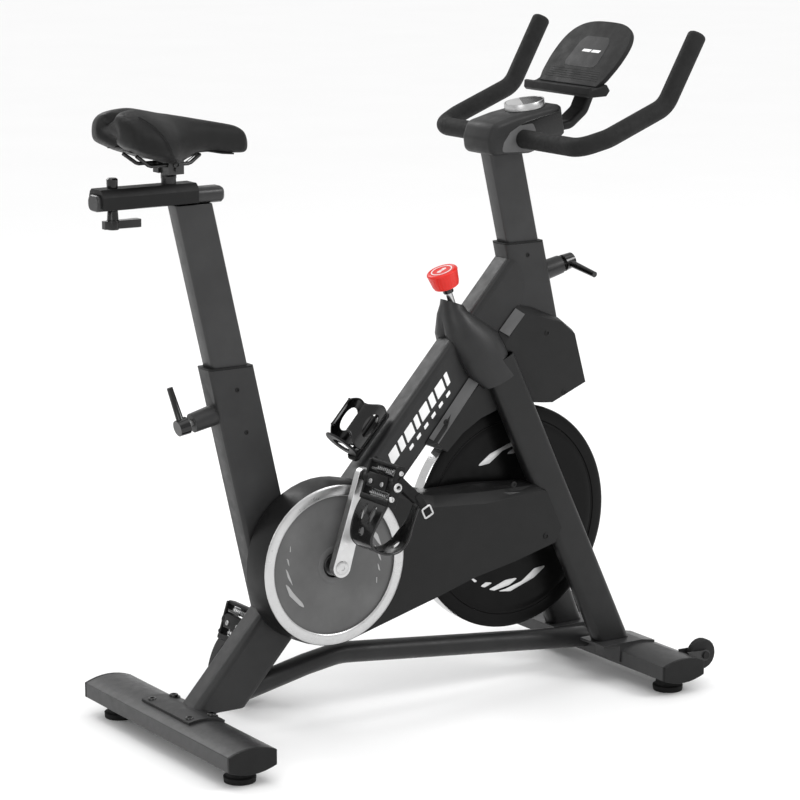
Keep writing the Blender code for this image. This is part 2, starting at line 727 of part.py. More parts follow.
def make_guard():
    skins = [(GUARD_BACK_Y - GAP, GUARD_RADIUS, BACK_TOP), (-45.0, GUARD_RADIUS, BACK_TOP),
             (-70.0, GUARD_RADIUS - 2.0, MIDDLE_TOP), (GUARD_FACE_Y, GUARD_RADIUS - 4.5, FACE_TOP)]
    outer = [[Vector((x, y, z)) for x, z in guard_outline(radius, top)] for y, radius, top in skins]
    cover = loft("belt_guard_cover", outer, "plastic_black")
    hollow_skins = [(GUARD_BACK_Y + 3.0, GUARD_RADIUS, BACK_TOP), (-45.0, GUARD_RADIUS, BACK_TOP),
                    (-70.0, GUARD_RADIUS - 2.0, MIDDLE_TOP),
                    (GUARD_FACE_Y + GUARD_WALL, GUARD_RADIUS - 7.0, FACE_TOP)]
    inner = [[Vector((x, y, z)) for x, z in guard_outline(radius - GUARD_WALL, top, GUARD_WALL)]
             for y, radius, top in hollow_skins]
    hollow = loft("guard_hollow", inner)
    mouth = rod("guard_mouth", side_point(CRANK, -95), side_point(CRANK, -60), TRIM_OUTER + GAP, sides=48)
    cut(cover, hollow, mouth, leg_body(-1), dropout(-1, GAP))
    back = plate("belt_guard_back", guard_outline(GUARD_RADIUS - 1.0, BACK_TOP, 1.0), GUARD_BACK_Y,
                 GUARD_BACK_Y + 1.8, "plastic_black")
    cut(back, rod("back_hole", side_point(CRANK, -40), side_point(CRANK, -20), 26.0),
        rod("hub_hole", side_point(WHEEL, -40), side_point(WHEEL, -20), 20.0))
    disc = [(23.0, GUARD_FACE_Y + 2.0), (33.0, GUARD_FACE_Y + 2.0), (34.5, GUARD_FACE_Y + 4.0),
            (TRIM_OUTER - 0.5, GUARD_FACE_Y + 4.0), (TRIM_OUTER - 0.5, GUARD_FACE_Y + 6.5),
            (23.0, GUARD_FACE_Y + 6.5)]
    turned("guard_disc", disc, side_point(CRANK), ACROSS, "plastic_grey", sides=48, closed=True)
    face = GUARD_FACE_Y + 4.0 - GAP
    ring = [(TRIM_INNER, face), (TRIM_INNER + 1.0, GUARD_FACE_Y - 2.0),
            (TRIM_OUTER - 1.0, GUARD_FACE_Y - 2.0), (TRIM_OUTER, face)]
    turned("guard_trim_ring", ring, side_point(CRANK), ACROSS, "aluminium", sides=48, closed=True)


def tangent_loop(radius_extra):
    """Path of the belt round the two pulleys, as (x, z) points."""
    big, small = PULLEY_RADIUS + radius_extra, SMALL_PULLEY_RADIUS + radius_extra
    gap_x, gap_z = WHEEL[0] - CRANK[0], WHEEL[1] - CRANK[1]
    lean = math.degrees(math.atan2(gap_z, gap_x))
    open_angle = math.degrees(math.acos((big - small) / math.hypot(gap_x, gap_z)))
    far = arc(CRANK, big, lean + open_angle, lean + 360.0 - open_angle, 30)
    near = arc(WHEEL, small, lean - open_angle, lean + open_angle, 10)
    return far + near


def make_drive():
    low, high = PULLEY_Y
    inner = [[Vector((x, y, z)) for x, z in tangent_loop(0.4)] for y in (low + 1.0, high - 1.0)]
    outer = [[Vector((x, y, z)) for x, z in tangent_loop(3.6)] for y in (low + 1.0, high - 1.0)]
    loft("drive_belt", outer, "rubber_black", inner=inner)
    pulley = [(6.0, -107.0), (8.5, -104.5), (8.5, low + 4.0), (30.0, low + 4.0), (PULLEY_RADIUS - 8.0, low + 4.0),
              (PULLEY_RADIUS - 8.0, low), (PULLEY_RADIUS, low), (PULLEY_RADIUS, high),
              (PULLEY_RADIUS - 8.0, high), (PULLEY_RADIUS - 8.0, low + 9.0), (30.0, low + 9.0),
              (14.0, -33.0), (8.5, -32.0), (8.5, 104.5), (6.0, 107.0)]
    turned("crank_axle", pulley, side_point(CRANK), ACROSS, "steel", sides=30)


def crank_arm(name, side):
    """Forged arm: a capsule that tapers from the axle's eye to the pedal's eye."""
    reach = Vector((CRANK_DIRECTION[0], 0, CRANK_DIRECTION[1])).normalized() * (-side)
    eye = side_point(CRANK) + reach * CRANK_LENGTH
    heading = math.degrees(math.atan2(reach.z, reach.x))
    outline = arc(CRANK, 18.0, heading + 97, heading + 263, 10)
    outline += arc((eye.x, eye.z), 14.0, heading - 83, heading + 83, 8)
    low, high = sorted((side * 94.0, side * 109.0))
    arm = plate(name, outline, low, high, "aluminium", origin=side_point(CRANK))
    holes = ((side_point(CRANK), 8.9), (eye, 7.3))
    for point, radius in holes:
        start, end = point.copy(), point.copy()
        start.y, end.y = side * 90.0, side * 114.0
        cut(arm, rod(name + "_eye", start, end, radius))
    return arm


PEDAL_TOE = Vector((-0.30, 0, -0.954)).normalized()
PEDAL_FOOT_SIDE = Vector((0.954, 0, -0.30)).normalized()


def pedal_point(centre, toe, rise, y):
    point = centre + PEDAL_TOE * toe + PEDAL_FOOT_SIDE * rise
    point.y = y
    return point


def pedal(name, side):
    """Pedal with its spindle, body, toe clip and strap."""
    reach = Vector((CRANK_DIRECTION[0], 0, CRANK_DIRECTION[1])).normalized() * (-side)
    centre = side_point(CRANK) + reach * CRANK_LENGTH
    start, end = centre.copy(), centre.copy()
    start.y, end.y = side * 95.0, side * 216.0
    spindle = rod(name, start, end, 7.0, "rubber_black", origin=centre)
    collar_end = centre.copy()
    collar_end.y = side * 126.0
    collar_start = centre.copy()
    collar_start.y = side * 110.0
    collar = rod("pedal_collar", collar_start, collar_end, 11.0)
    mid_y = side * 170.0
    body_line = [(-34, -9), (-28, -15), (30, -15), (40, -8), (44, 2), (38, 10), (-30, 10), (-36, 4)]
    body_rings = [[pedal_point(centre, t, r, mid_y + half * side) for t, r in body_line] for half in (-46, 46)]
    body = loft("pedal_body", body_rings)
    clip_route = [(36, -2, 38), (70, -16, 36), (100, -20, 33), (119, -4, 30), (123, 22, 28),
                  (116, 48, 26), (98, 66, 24), (76, 74, 20)]
    clip = pedal_strip("toe_clip", centre, clip_route, mid_y, 3.0)
    strap_line = [(-46, 0), (-48, 40), (-36, 72), (0, 84), (36, 72), (48, 40), (46, 0)]
    strap = pedal_strap(centre, strap_line, mid_y, side)
    bridge_route = [(78, 76, 8), (50, 84, 8), (2, 83, 8)]
    link = pedal_strip("clip_link", centre, bridge_route, mid_y, 3.0)
    weld(spindle, collar, body, clip, strap, link)
    return spindle


def pedal_strip(name, centre, route, mid_y, thickness):
    """A bent strip whose stations are (toe distance, rise, half width)."""
    rings = []
    for index, (toe, rise, half) in enumerate(route):
        before = route[max(index - 1, 0)]
        after = route[min(index + 1, len(route) - 1)]
        along = Vector((after[0] - before[0], after[1] - before[1])).normalized()
        normal = Vector((-along.y, along.x)) * thickness / 2
        corners = [(toe + normal.x, rise + normal.y, -half), (toe + normal.x, rise + normal.y, half),
                   (toe - normal.x, rise - normal.y, half), (toe - normal.x, rise - normal.y, -half)]
        rings.append([pedal_point(centre, t, r, mid_y + y) for t, r, y in corners])
    return loft(name, rings)


def pedal_strap(centre, line, mid_y, side):
    """The strap's hoop over the foot, 16 mm wide."""
    rings = []
    for index, (y, rise) in enumerate(line):
        before = line[max(index - 1, 0)]
        after = line[min(index + 1, len(line) - 1)]
        along = Vector((after[0] - before[0], after[1] - before[1])).normalized()
        normal = Vector((-along.y, along.x)) * 1.3
        corners = [(-8, y + normal.x, rise + normal.y), (8, y + normal.x, rise + normal.y),
                   (8, y - normal.x, rise - normal.y), (-8, y - normal.x, rise - normal.y)]
        rings.append([pedal_point(centre, t, r, mid_y + v * side) for t, v, r in corners])
    return loft("strap", rings)


def make_flywheel():
    low, high = PULLEY_Y
    half, rim_in = WHEEL_HALF, WHEEL_RADIUS - 26.0
    pulley_r = SMALL_PULLEY_RADIUS
    profile = [(10.4, low), (pulley_r, low), (pulley_r, high), (15.0, high), (15.0, -22.0),
               (28.0, -22.0), (28.0, -5.0), (rim_in - 3.0, -5.0), (rim_in, -half),
               (WHEEL_RADIUS - 1.0, -half), (WHEEL_RADIUS, -half + 1.5), (WHEEL_RADIUS, half - 1.5),
               (WHEEL_RADIUS - 1.0, half), (rim_in, half), (rim_in - 3.0, 5.0), (28.0, 5.0),
               (24.0, 46.0), (10.4, 46.0)]
    turned("flywheel", profile, side_point(WHEEL), ACROSS, "chrome", sides=44, closed=True)
    for side, word in ((-1, "right"), (1, "left")):
        face = half - 0.6
        cover = [(30.0, face), (rim_in - GAP, face), (rim_in - GAP - 0.6, face - 2.4), (30.0, face - 2.4)]
        cover = [(radius, side * height) for radius, height in cover]
        turned("flywheel_cover_" + word, cover, side_point(WHEEL), ACROSS, "plastic_black", sides=44,
               closed=True)
    ends = DROPOUT_Y[1] + 0.4
    axle = [(6.0, -ends - 14.0), (6.0, -ends - 10.0), (11.0, -ends - 10.0), (11.0, -ends), (6.0, -ends),
            (6.0, -51.7), (10.0, -51.7), (10.0, 51.7), (6.0, 51.7), (6.0, ends), (11.0, ends),
            (11.0, ends + 10.0), (6.0, ends + 10.0), (6.0, ends + 14.0)]
    turned("flywheel_axle", axle, side_point(WHEEL), ACROSS, "steel", sides=10)


# ---------------------------------------------------------------- brake

def make_brake():
    top = side_point(ROD_TOP)
    start, end = top - ROD_DOWN * 46.0, top + ROD_DOWN * 196.0
    rod("brake_rod", start, end, 6.5, "steel", origin=top)
    knob = [(9.0, 0.0), (22.0, 0.5), (24.0, 3.0), (28.5, 27.0), (29.5, 30.0), (27.5, 33.5), (12.0, 34.5)]
    knob_seat = top - ROD_DOWN * (46.0 - 14.0)
    blank = turned("brake_knob", knob, knob_seat, -ROD_DOWN, "red", sides=28)
    cut(blank, rod("knob_bore", knob_seat + ROD_DOWN * 5, knob_seat - ROD_DOWN * 14.5, 7.0))
    brake_pad(top)


PAD_GAP = 9.5


def brake_pad(top):
    """Felt-faced shoe that the rod presses on the flywheel's rim."""
    centre = side_point(WHEEL)
    contact = top + ROD_DOWN * 223.9
    outward = (contact - centre).normalized()
    heading = math.degrees(math.atan2(outward.z, outward.x))
    inner_r = WHEEL_RADIUS + PAD_GAP
    outline = arc(WHEEL, inner_r, heading - 7, heading + 7, 8)
    outline += arc(WHEEL, inner_r + 13.0, heading + 7, heading - 7, 8)
    shoe = plate("brake_pad", outline, -14.0, 14.0, "felt", origin=contact)
    cut(shoe, rod("pad_socket", top + ROD_DOWN * 150.0, top + ROD_DOWN * (196.0 + GAP), 7.0))
    return shoe


# ---------------------------------------------------------------- clamping pins and levers

def clamp_pin(name, point, direction, start, end):
    return rod(name, point + direction * start, point + direction * end, 6.0, "steel",
               origin=point + direction * start, sides=16)


def clamp_lever(name, point, direction, near, far, tip):
    """Hub on the pin's end and a tapering handle."""
    hub_start, hub_end = point + direction * near, point + direction * far
    hub = rod(name, hub_start, hub_end, 16.0, "plastic_black", origin=hub_start, end_radius=14.5)
    middle = point + direction * ((near + far) / 2)
    handle = rod("handle", middle, middle + Vector(tip), 7.0, sides=14, end_radius=5.5)
    weld(hub, handle)
    cut(hub, rod("hub_bore", point + direction * (near - 5), point + direction * (far - 6.0), 6.3, sides=16))
    return hub


def make_clamps():
    seat_face = SEAT_POST[0] / 2 + 0.5
    clamp_pin("seat_pin", SEAT_PIN_POINT, -SEAT_FRONT, seat_face, 111.7)
    clamp_lever("seat_pin_lever", SEAT_PIN_POINT, -SEAT_FRONT, 98.0, 118.0,
                SEAT_ALONG * 71 + ACROSS * 15)
    bar_face = BAR_POST[0] / 2 + 0.5
    clamp_pin("handlebar_pin", BAR_PIN_POINT, BAR_FRONT, bar_face, 105.7)
    clamp_lever("handlebar_pin_lever", BAR_PIN_POINT, BAR_FRONT, 91.0, 112.0,
                BAR_ALONG * -15 + ACROSS * -81)


# ---------------------------------------------------------------- seat

def post(name, top_point, along, front, size, low_z, high_z):
    """Hollow post with an open lower end and a level top."""
    outer_line = rounded_rectangle(size[0], size[1], 6.0)
    inner_line = rounded_rectangle(size[0] - 5.0, size[1] - 5.0, 3.5)
    top, bottom = on_line(top_point, along, high_z), on_line(top_point, along, low_z)
    outer = [level_ring(outer_line, top, along, front), place(outer_line, bottom, front, ACROSS)]
    inner = [level_ring(inner_line, top, along, front), place(inner_line, bottom, front, ACROSS)]
    return loft(name, outer, "frame_black", inner=inner, origin=bottom)


def make_seat():
    post("seat_post", SEAT_SLEEVE_TOP, SEAT_ALONG, SEAT_FRONT, SEAT_POST, SEAT_POST_BOTTOM_Z, SEAT_POST_TOP_Z)
    rail_low, rail_high = SEAT_POST_TOP_Z + GAP, 1001.5
    rail_mid = (rail_low + rail_high) / 2
    height = rail_high - rail_low
    inner_end, outer_end = RAIL_X
    rings = []
    for x, size in ((inner_end, 0.86), (inner_end + 3, 1.0), (outer_end - 5, 1.0), (outer_end, 0.8)):
        line = rounded_rectangle(40.0 * size, height * size, 11.0 * size)
        rings.append([Vector((x, u, rail_mid + v)) for u, v in line])
    rail = loft("seat_rail", rings, "frame_black")
    slot = plate("rail_slot", rounded_slot(-575.0, -503.0, 6.5), rail_low - 5, rail_high + 5, axis="Z")
    cut(rail, slot)
    make_slider(rail_high)
    make_saddle()


def rounded_slot(start, end, radius):
    """Outline of a slot with round ends along X."""
    near = arc((start + radius, 0), radius, 90, 270, 6)
    far = arc((end - radius, 0), radius, -90, 90, 6)
    return near + far


def make_slider(rail_high):
    """Carriage that wraps the rail's top and sides and carries the saddle."""
    low, high = 977.0, 1011.0
    outline = [(-26, low), (-20.6, low), (-20.6, 990), (-17, rail_high + 0.4), (17, rail_high + 0.4),
               (20.6, 990), (20.6, low), (26, low), (26, 998), (23, 1006), (17, high), (-17, high),
               (-23, 1006), (-26, 998)]
    carriage = plate("seat_slider", outline, SLIDER_X[0], SLIDER_X[1], "frame_black", axis="X")
    cut(carriage, rod("slider_bolt_hole", (CLAMP_X, 0, 970), (CLAMP_X, 0, 1030), 5.6))
    profile = [(3.0, 940.0), (10.0, 940.0), (11.0, 942.0), (11.0, 956.0), (10.0, 957.0), (9.0, 972.9),
               (5.0, 972.9), (5.0, high + GAP), (9.5, high + GAP), (10.0, 1026.0), (7.0, 1028.5)]
    knob = turned("slider_clamp_lever", profile, (CLAMP_X, 0, 0), (0, 0, 1), "plastic_black", sides=16)
    paddle = [(CLAMP_X + 51, 7), (CLAMP_X + 46, 9), (CLAMP_X, 6), (CLAMP_X - 18, 6), (CLAMP_X - 18, -6),
              (CLAMP_X, -6), (CLAMP_X + 46, -9), (CLAMP_X + 51, -7)]
    weld(knob, plate("paddle", paddle, 941.5, 955.5, axis="Z"))


def blended(stations, x):
    """Value at x on a smooth line through (x, value) stations."""
    for (x0, first), (x1, second) in zip(stations, stations[1:]):
        if x <= x1:
            share = max(0.0, (x - x0) / (x1 - x0))
            return first + (second - first) * share * share * (3 - 2 * share)
    return stations[-1][1]


def saddle_half_width(x):
    """Half width of the saddle at x: broad lobes behind, a narrow nose in front."""
    return blended([(-566, 48), (-553, 78), (-530, 92), (-503, 94), (-475, 80), (-448, 57), (-420, 39),
                    (-390, 29), (-355, 24), (-320, 20), (-304, 16), (-294, 9)], x)


def saddle_top(x):
    return blended([(-566, 1142), (-535, 1144), (-450, 1128), (-366, 1114), (-294, 1101)], x)


def saddle_bottom(x):
    return blended([(-566, 1087), (-535, 1079), (-490, 1070), (-388, 1066), (-330, 1057), (-294, 1053)], x)


def saddle_droop(x):
    """How far the underside and the sides hang at the edge of the lobes."""
    return blended([(-566, 10), (-545, 16), (-490, 21), (-440, 9), (-410, 3), (-390, 0)], x)


def saddle_ring(x, low, high, half, droop):
    """Ring of the cushion: crowned top, sides that hang lower toward the lobes' edges."""
    ring = []
    count = 20
    for step in range(count):
        angle = 2 * math.pi * step / count
        c, s = math.cos(angle), math.sin(angle)
        y = half * math.copysign(abs(c) ** 0.75, c)
        middle, reach = (high + low) / 2, (high - low) / 2
        z = middle + reach * math.copysign(abs(s) ** 0.8, s) - droop * (y / max(half, 1.0)) ** 2
        ring.append(Vector((x, y, z)))
    return ring


def saddle_under(x, share):
    """Height of the cushion's underside at a share of its half width."""
    return saddle_bottom(x) - saddle_droop(x) * share * share


def make_saddle():
    xs = [-566, -563, -556, -543, -525, -505, -482, -458, -432, -405, -375, -345, -320, -304, -296, -293.5]
    rings = []
    for x in xs:
        rear_end = math.sqrt(max(0.03, (x + 567.0) / 16.0))
        nose_end = math.sqrt(max(0.03, (-292.5 - x) / 14.0))
        near_end = min(1.0, rear_end, nose_end)
        top, bottom = saddle_top(x), saddle_bottom(x)
        middle, reach = (top + bottom) / 2, (top - bottom) / 2 * near_end
        half = saddle_half_width(x) * (0.55 + 0.45 * near_end)
        rings.append(saddle_ring(x, middle - reach, middle + reach, half, saddle_droop(x)))
    pivot = side_point(SADDLE_PIVOT)
    loft("saddle_cushion", rings, "leather_black", origin=pivot)
    base_rings = []
    for x in (-545, -525, -500, -470, -440, -410, -380, -350, -325):
        width = saddle_half_width(x)
        shares = (-0.5, -0.25, 0.0, 0.25, 0.5)
        upper = [Vector((x, width * part, saddle_under(x, part) - 0.7)) for part in shares]
        lower = [point - Vector((0, 0, 2.6)) for point in reversed(upper)]
        base_rings.append(upper + lower)
    loft("saddle_base", base_rings, "plastic_black", origin=pivot)
    pivot_x, pivot_z = SADDLE_PIVOT
    half = [(-524, 24, 1065), (-498, 22, 1046), (-420, 22, 1046), (-396, 11, 1057.0)]
    route = half + [(-386, 0, 1057.5)] + [(x, -y, z) for x, y, z in reversed(half)]
    path = smooth_path(route, 9.0, 1)
    sweep("saddle_rails", path, ellipse(3.4, 3.4, 8), "steel", side=(0, 0, 1), origin=pivot)
    clamp = block("saddle_clamp", (pivot_x - 15, -28, pivot_z - 9), (pivot_x + 15, 28, 1054.0), "steel",
                  origin=pivot)
    cut(clamp, block("clamp_slot", (pivot_x - 40, -8.6, pivot_z - 30), (pivot_x + 40, 8.6, pivot_z + 11.6)))
    for side in (-1, 1):
        cut(clamp, rod("rail_groove", (pivot_x - 40, side * 22, 1046), (pivot_x + 40, side * 22, 1046), 3.9,
                       sides=12))
    weld(clamp, rod("pivot_bolt", (pivot_x, -32, pivot_z), (pivot_x, 32, pivot_z), 4.0, sides=12))
    tang_line = arc((pivot_x, pivot_z), 11.0, 0, 180, 10) + [(pivot_x - 11, 1020), (pivot_x + 11, 1020)]
    stem = turned("saddle_stem", [(13.0, 1011.0 + GAP), (13.0, 1024.0), (10.0, 1026.0)], (pivot_x, 0, 0),
                  (0, 0, 1), "steel", sides=20)
    weld(stem, plate("tang", tang_line, -8.0, 8.0))
    cut(stem, rod("tang_bore", (pivot_x, -20, pivot_z), (pivot_x, 20, pivot_z), 4.4, sides=12))


# ---------------------------------------------------------------- handlebar, console and holder

def bar_path(side):
    """Centreline of half the handlebar, from the middle plane to the end of the grip."""
    corners = [(265.0, 0.0, 1046.0), (264.0, 218.0, 1046.0), (312.0, 238.0, 1062.0),
               (440.0, 238.0, 1112.0), (508.0, 239.0, 1233.0)]
    corners = [(x, side * y, z) for x, y, z in corners]
    return smooth_path(corners, 36.0, 3)


def trimmed(path, start):
    """The part of a route beyond a distance from the middle plane."""
    kept = [point for point in path if abs(point.y) > start + 4.0]
    first, second = path[0], path[1]
    share = (start - abs(first.y)) / (abs(second.y) - abs(first.y))
    return [first.lerp(second, share)] + kept


def make_handlebar():
    right, left = bar_path(-1), bar_path(1)
    line = [point for point in right[::-1]] + left[1:]
    for end, inward in ((0, 1), (-1, -2)):
        step_back = (line[inward] - line[end]).normalized()
        line[end] = line[end] + step_back * 6.0
    ring_sides = 12
    sweep("handlebar", line, ellipse(TUBE_RADIUS, TUBE_RADIUS, ring_sides), "frame_black", side=(0.35, 0, 1))
    for side, word in ((-1, "right"), (1, "left")):
        route = trimmed(bar_path(side), GRIP_START)
        grip_on("grip_" + word, route)
    post("handlebar_post", BAR_SLEEVE_TOP, BAR_ALONG, BAR_FRONT, BAR_POST, BAR_POST_BOTTOM_Z, BAR_POST_TOP_Z)


def grip_on(name, route):
    """Foam sleeve over one side of the bar, closed by a rounded end."""
    outer_r, inner_r = GRIP_RADIUS, TUBE_RADIUS + GAP
    sides = 12
    rings = []
    count = len(route)
    frames = []
    for index, point in enumerate(route):
        before = route[max(index - 1, 0)]
        after = route[min(index + 1, count - 1)]
        along = (after - before).normalized()
        u_axis = Vector((0.35, 0, 1)).cross(along).normalized()
        frames.append((point, along, u_axis, along.cross(u_axis)))
    for point, along, u_axis, v_axis in frames:
        rings.append(place(ellipse(outer_r, outer_r, sides), point, u_axis, v_axis))
    point, along, u_axis, v_axis = frames[-1]
    for forward, radius in ((4.0, outer_r * 0.93), (7.5, outer_r * 0.7), (9.0, outer_r * 0.35)):
        rings.append(place(ellipse(radius, radius, sides), point + along * forward, u_axis, v_axis))
    holes = [place(ellipse(inner_r, inner_r, sides), *frame_of(entry)) for entry in frames]
    mesh_data = bmesh.new()
    outside = [[mesh_data.verts.new(p) for p in ring] for ring in rings]
    inside = [[mesh_data.verts.new(p) for p in ring] for ring in holes]
    for row in (outside, inside):
        for first, second in zip(row, row[1:]):
            bridge(mesh_data, first, second)
    bridge(mesh_data, outside[0], inside[0])
    mesh_data.faces.new(outside[-1])
    mesh_data.faces.new(inside[-1])
    return finish_mesh(name, mesh_data, "rubber_black")


def frame_of(entry):
    point, along, u_axis, v_axis = entry
    return point, u_axis, v_axis


CONSOLE_HALF = 46.0
DIAL = (300.5, 1097.5)
DIAL_RADIUS = 37.5


def make_console():
    outline = [(194, 1018), (191, 1046), (198, 1065), (214, 1078), (250, 1089), (345, 1105), (353, 1101),
               (362, 1052), (346, 1038), (284, 1018)]
    levels = ((-CONSOLE_HALF, 0.9), (-CONSOLE_HALF + 7, 1.0), (CONSOLE_HALF - 7, 1.0), (CONSOLE_HALF, 0.9))
    middle = Vector((275, 0, 1060))
    rings = []
    for y, size in levels:
        rings.append([Vector((middle.x + (x - middle.x) * size, y, middle.z + (z - middle.z) * size))
                      for x, z in outline])
    housing = loft("console_housing", rings, "plastic_grey")
    bar_hole = rod("bar_hole", (265.0, -80, 1046), (264.6, 80, 1046), TUBE_RADIUS + GAP, sides=14)
    cavity = block("console_cavity", (204, -34, 1000), (338, 34, 1071))
    grip_holes = [rod("grip_hole", (265, side * 60, 1046), (265, side * 30, 1046), GRIP_RADIUS + 0.6)
                  for side in (-1, 1)]
    cut(housing, cavity, bar_hole, *grip_holes)
    post_top = on_line(BAR_SLEEVE_TOP, BAR_ALONG, BAR_POST_TOP_Z)
    outer_line = rounded_rectangle(BAR_POST[0] + 0.8, BAR_POST[1] + 0.8, 6.4)
    low = on_line(BAR_SLEEVE_TOP, BAR_ALONG, 990.0)
    tool = loft("post_passage", [place(outer_line, low, BAR_FRONT, ACROSS),
                                 place(outer_line, post_top + BAR_ALONG * 12, BAR_FRONT, ACROSS)])
    cut(housing, tool)
    lean = Vector((-16, 0, 95)).normalized()
    dial = [(DIAL_RADIUS, GAP), (DIAL_RADIUS, 11.0), (DIAL_RADIUS - 3.0, 13.5), (DIAL_RADIUS - 6.0, 13.0)]
    turned("console_dial", dial, side_point(DIAL), lean, "chrome", sides=36)


def make_holder():
    """Media holder: an upright panel with a ledge, on an arm from the console's front."""
    foot_point, head = Vector((399.0, 0, 1134.0)), Vector((503.0, 0, 1252.0))
    rise = (head - foot_point).normalized()
    normal = Vector((-rise.z, 0, rise.x))
    tall = (head - foot_point).length
    half = 106.0
    corner = 46.0
    outline = [(-half, 58.0), (-half + 5, 25.0), (-half + 17, 0.0), (half - 17, 0.0), (half - 5, 25.0),
               (half, 58.0)]
    outline += arc((half - corner, tall - corner - 6.0), corner, 0, 68, 7)
    outline += arc((-(half - corner), tall - corner - 6.0), corner, 112, 180, 7)
    rings = [place(outline, foot_point + normal * lift, ACROSS, rise) for lift in (4.0, -5.0)]
    slim = [(u * 0.95, tall / 2 + (v - tall / 2) * 0.95) for u, v in outline]
    rings.append(place(slim, foot_point - normal * 17.0, ACROSS, rise))
    panel = loft("media_holder", rings, "plastic_black")
    ledge_line = [(370, 1124), (375, 1119), (412, 1120), (420, 1130), (412, 1142), (399, 1136),
                  (379, 1132), (377, 1138), (371, 1137)]
    ledge = plate("ledge", ledge_line, -101.0, 101.0)
    arm_route = [(443, 1166), (441, 1122), (424, 1086), (392, 1062), (352, 1058)]
    rings = []
    for index, (x, z) in enumerate(arm_route):
        before = arm_route[max(index - 1, 0)]
        after = arm_route[min(index + 1, len(arm_route) - 1)]
        along = Vector((after[0] - before[0], 0, after[1] - before[1])).normalized()
        sideways = Vector((-along.z, 0, along.x))
        rings.append(place(rounded_rectangle(16.0, 44.0, 6.0, 2), (x, 0, z), sideways, ACROSS))
    arm = loft("holder_arm", rings)
    weld(panel, ledge, arm)
    housing_front = block("console_front_cut", (330, -60, 1020), (367.6, 60, 1110))
    cut(panel, housing_front)


# ---------------------------------------------------------------- bottle cage

def make_bottle_cage():
    """Holder for a bottle, on the beam's upper face."""
    seat = side_point((-40.0, 517.6)) + BEAM_UP * (GAP + 0.4)

    def at(along, up, y):
        return seat + BEAM_ALONG * along + BEAM_UP * up + ACROSS * y

    def slab(name, outline, start, end):
        rings = [[at(along, up, y) for y, up in outline] for along in (start, end)]
        return loft(name, rings)

    back = [[at(along, up, y) for y, up in ((-17, 0), (17, 0), (15, 5), (-15, 5))] for along in (-56, 54)]
    cage = loft("bottle_cage", back, "plastic_black")
    centre = (0.0, 45.0)
    hoop = arc(centre, 41.0, -228, 48, 22) + arc(centre, 38.0, 48, -228, 22)
    shelf = arc((0.0, 22.0), 20.0, -200, 20, 12)
    weld(cage, slab("hoop", hoop, 2.0, 42.0), slab("shelf", shelf, -56.0, -52.5))
    for side in (-1, 1):
        upper = [(30.5, 17.5), (39, 28.5), (42.2, 41.5), (36.4, 41.5), (33, 31.5), (26.5, 22.5)]
        lower = [(14, 5), (20.6, 11), (22.4, 20.5), (17.6, 20.5), (15.4, 14.6), (11, 9.6)]
        rings = [[at(along, up, side * y) for y, up in line] for along, line in ((-54.2, lower), (11.0, upper))]
        weld(cage, loft("strut", rings))
    for step in cage.modifiers:
        step.solver = "MANIFOLD"


def centre_model():
    """Shift everything, cutters too, so that the bounding box is centred on the origin in plan."""
    bpy.context.view_layer.update()
    nodes = [ob for ob in bpy.data.objects if not ob.hide_render]
    ends = [(ob.matrix_world @ Vector(corner)).x for ob in nodes for corner in ob.bound_box]
    middle = (min(ends) + max(ends)) / 2
    for ob in bpy.data.objects:
        ob.location.x -= middle
    bpy.context.view_layer.update()


def main():
    clear_scene()
    make_stabilisers()
    make_main_beam()
    make_sleeves()
    make_lower_rail()
    make_fork()
    make_shroud()
    make_guard()
    make_drive()
    for side, word in ((-1, "right"), (1, "left")):
        crank_arm("crank_arm_" + word, side)
        pedal("pedal_" + word, side)
        transport_wheel("transport_wheel_" + word, side)
    make_flywheel()
    make_brake()
    make_clamps()
    make_seat()
    make_handlebar()
    make_console()
    make_holder()
    make_bottle_cage()
    centre_model()


main()
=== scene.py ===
"""Looks of a studio exercise bike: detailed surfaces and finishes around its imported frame."""

import json
import math

import bmesh
import bpy
import numpy as np
from mathutils import Matrix, Vector


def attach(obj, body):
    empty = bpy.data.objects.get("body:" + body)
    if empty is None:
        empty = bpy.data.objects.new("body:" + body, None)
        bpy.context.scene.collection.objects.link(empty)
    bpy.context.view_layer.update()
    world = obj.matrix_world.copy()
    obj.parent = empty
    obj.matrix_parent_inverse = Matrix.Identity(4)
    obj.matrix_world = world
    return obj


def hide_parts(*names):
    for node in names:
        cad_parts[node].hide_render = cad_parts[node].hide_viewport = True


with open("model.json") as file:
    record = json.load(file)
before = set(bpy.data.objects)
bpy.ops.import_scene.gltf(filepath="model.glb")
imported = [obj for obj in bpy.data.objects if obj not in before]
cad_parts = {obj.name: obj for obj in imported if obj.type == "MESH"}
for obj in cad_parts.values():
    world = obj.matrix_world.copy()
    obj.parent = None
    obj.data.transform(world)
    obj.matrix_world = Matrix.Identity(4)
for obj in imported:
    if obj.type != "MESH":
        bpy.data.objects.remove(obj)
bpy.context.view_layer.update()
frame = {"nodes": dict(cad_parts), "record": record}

bl_info = {
    "name": "Studio bike looks",
    "version": (1, 0, 0),
    "blender": (4, 5, 0),
    "location": "View3D > Sidebar > Bike",
    "description": "Builds the visible surfaces and finishes of a studio exercise bike",
    "category": "Add Mesh",
}

# ---------------------------------------------------------------- places taken from the frame, millimetres

CENTRING = np.array([-5.6, 0.0, 0.0])     # the drawing's origin lies 5.6 mm behind the frame's
ACROSS = np.array([0.0, 1.0, 0.0])
CRANK = np.array([-169.8, 0.0, 313.5])
WHEEL = np.array([266.2, 0.0, 330.4])
ROD_TOP = np.array([138.9, 0.0, 748.8])


def side_direction(degrees):
    """Unit vector in the side plane at an angle above straight ahead."""
    angle = math.radians(degrees)
    return np.array([math.cos(angle), 0.0, math.sin(angle)])


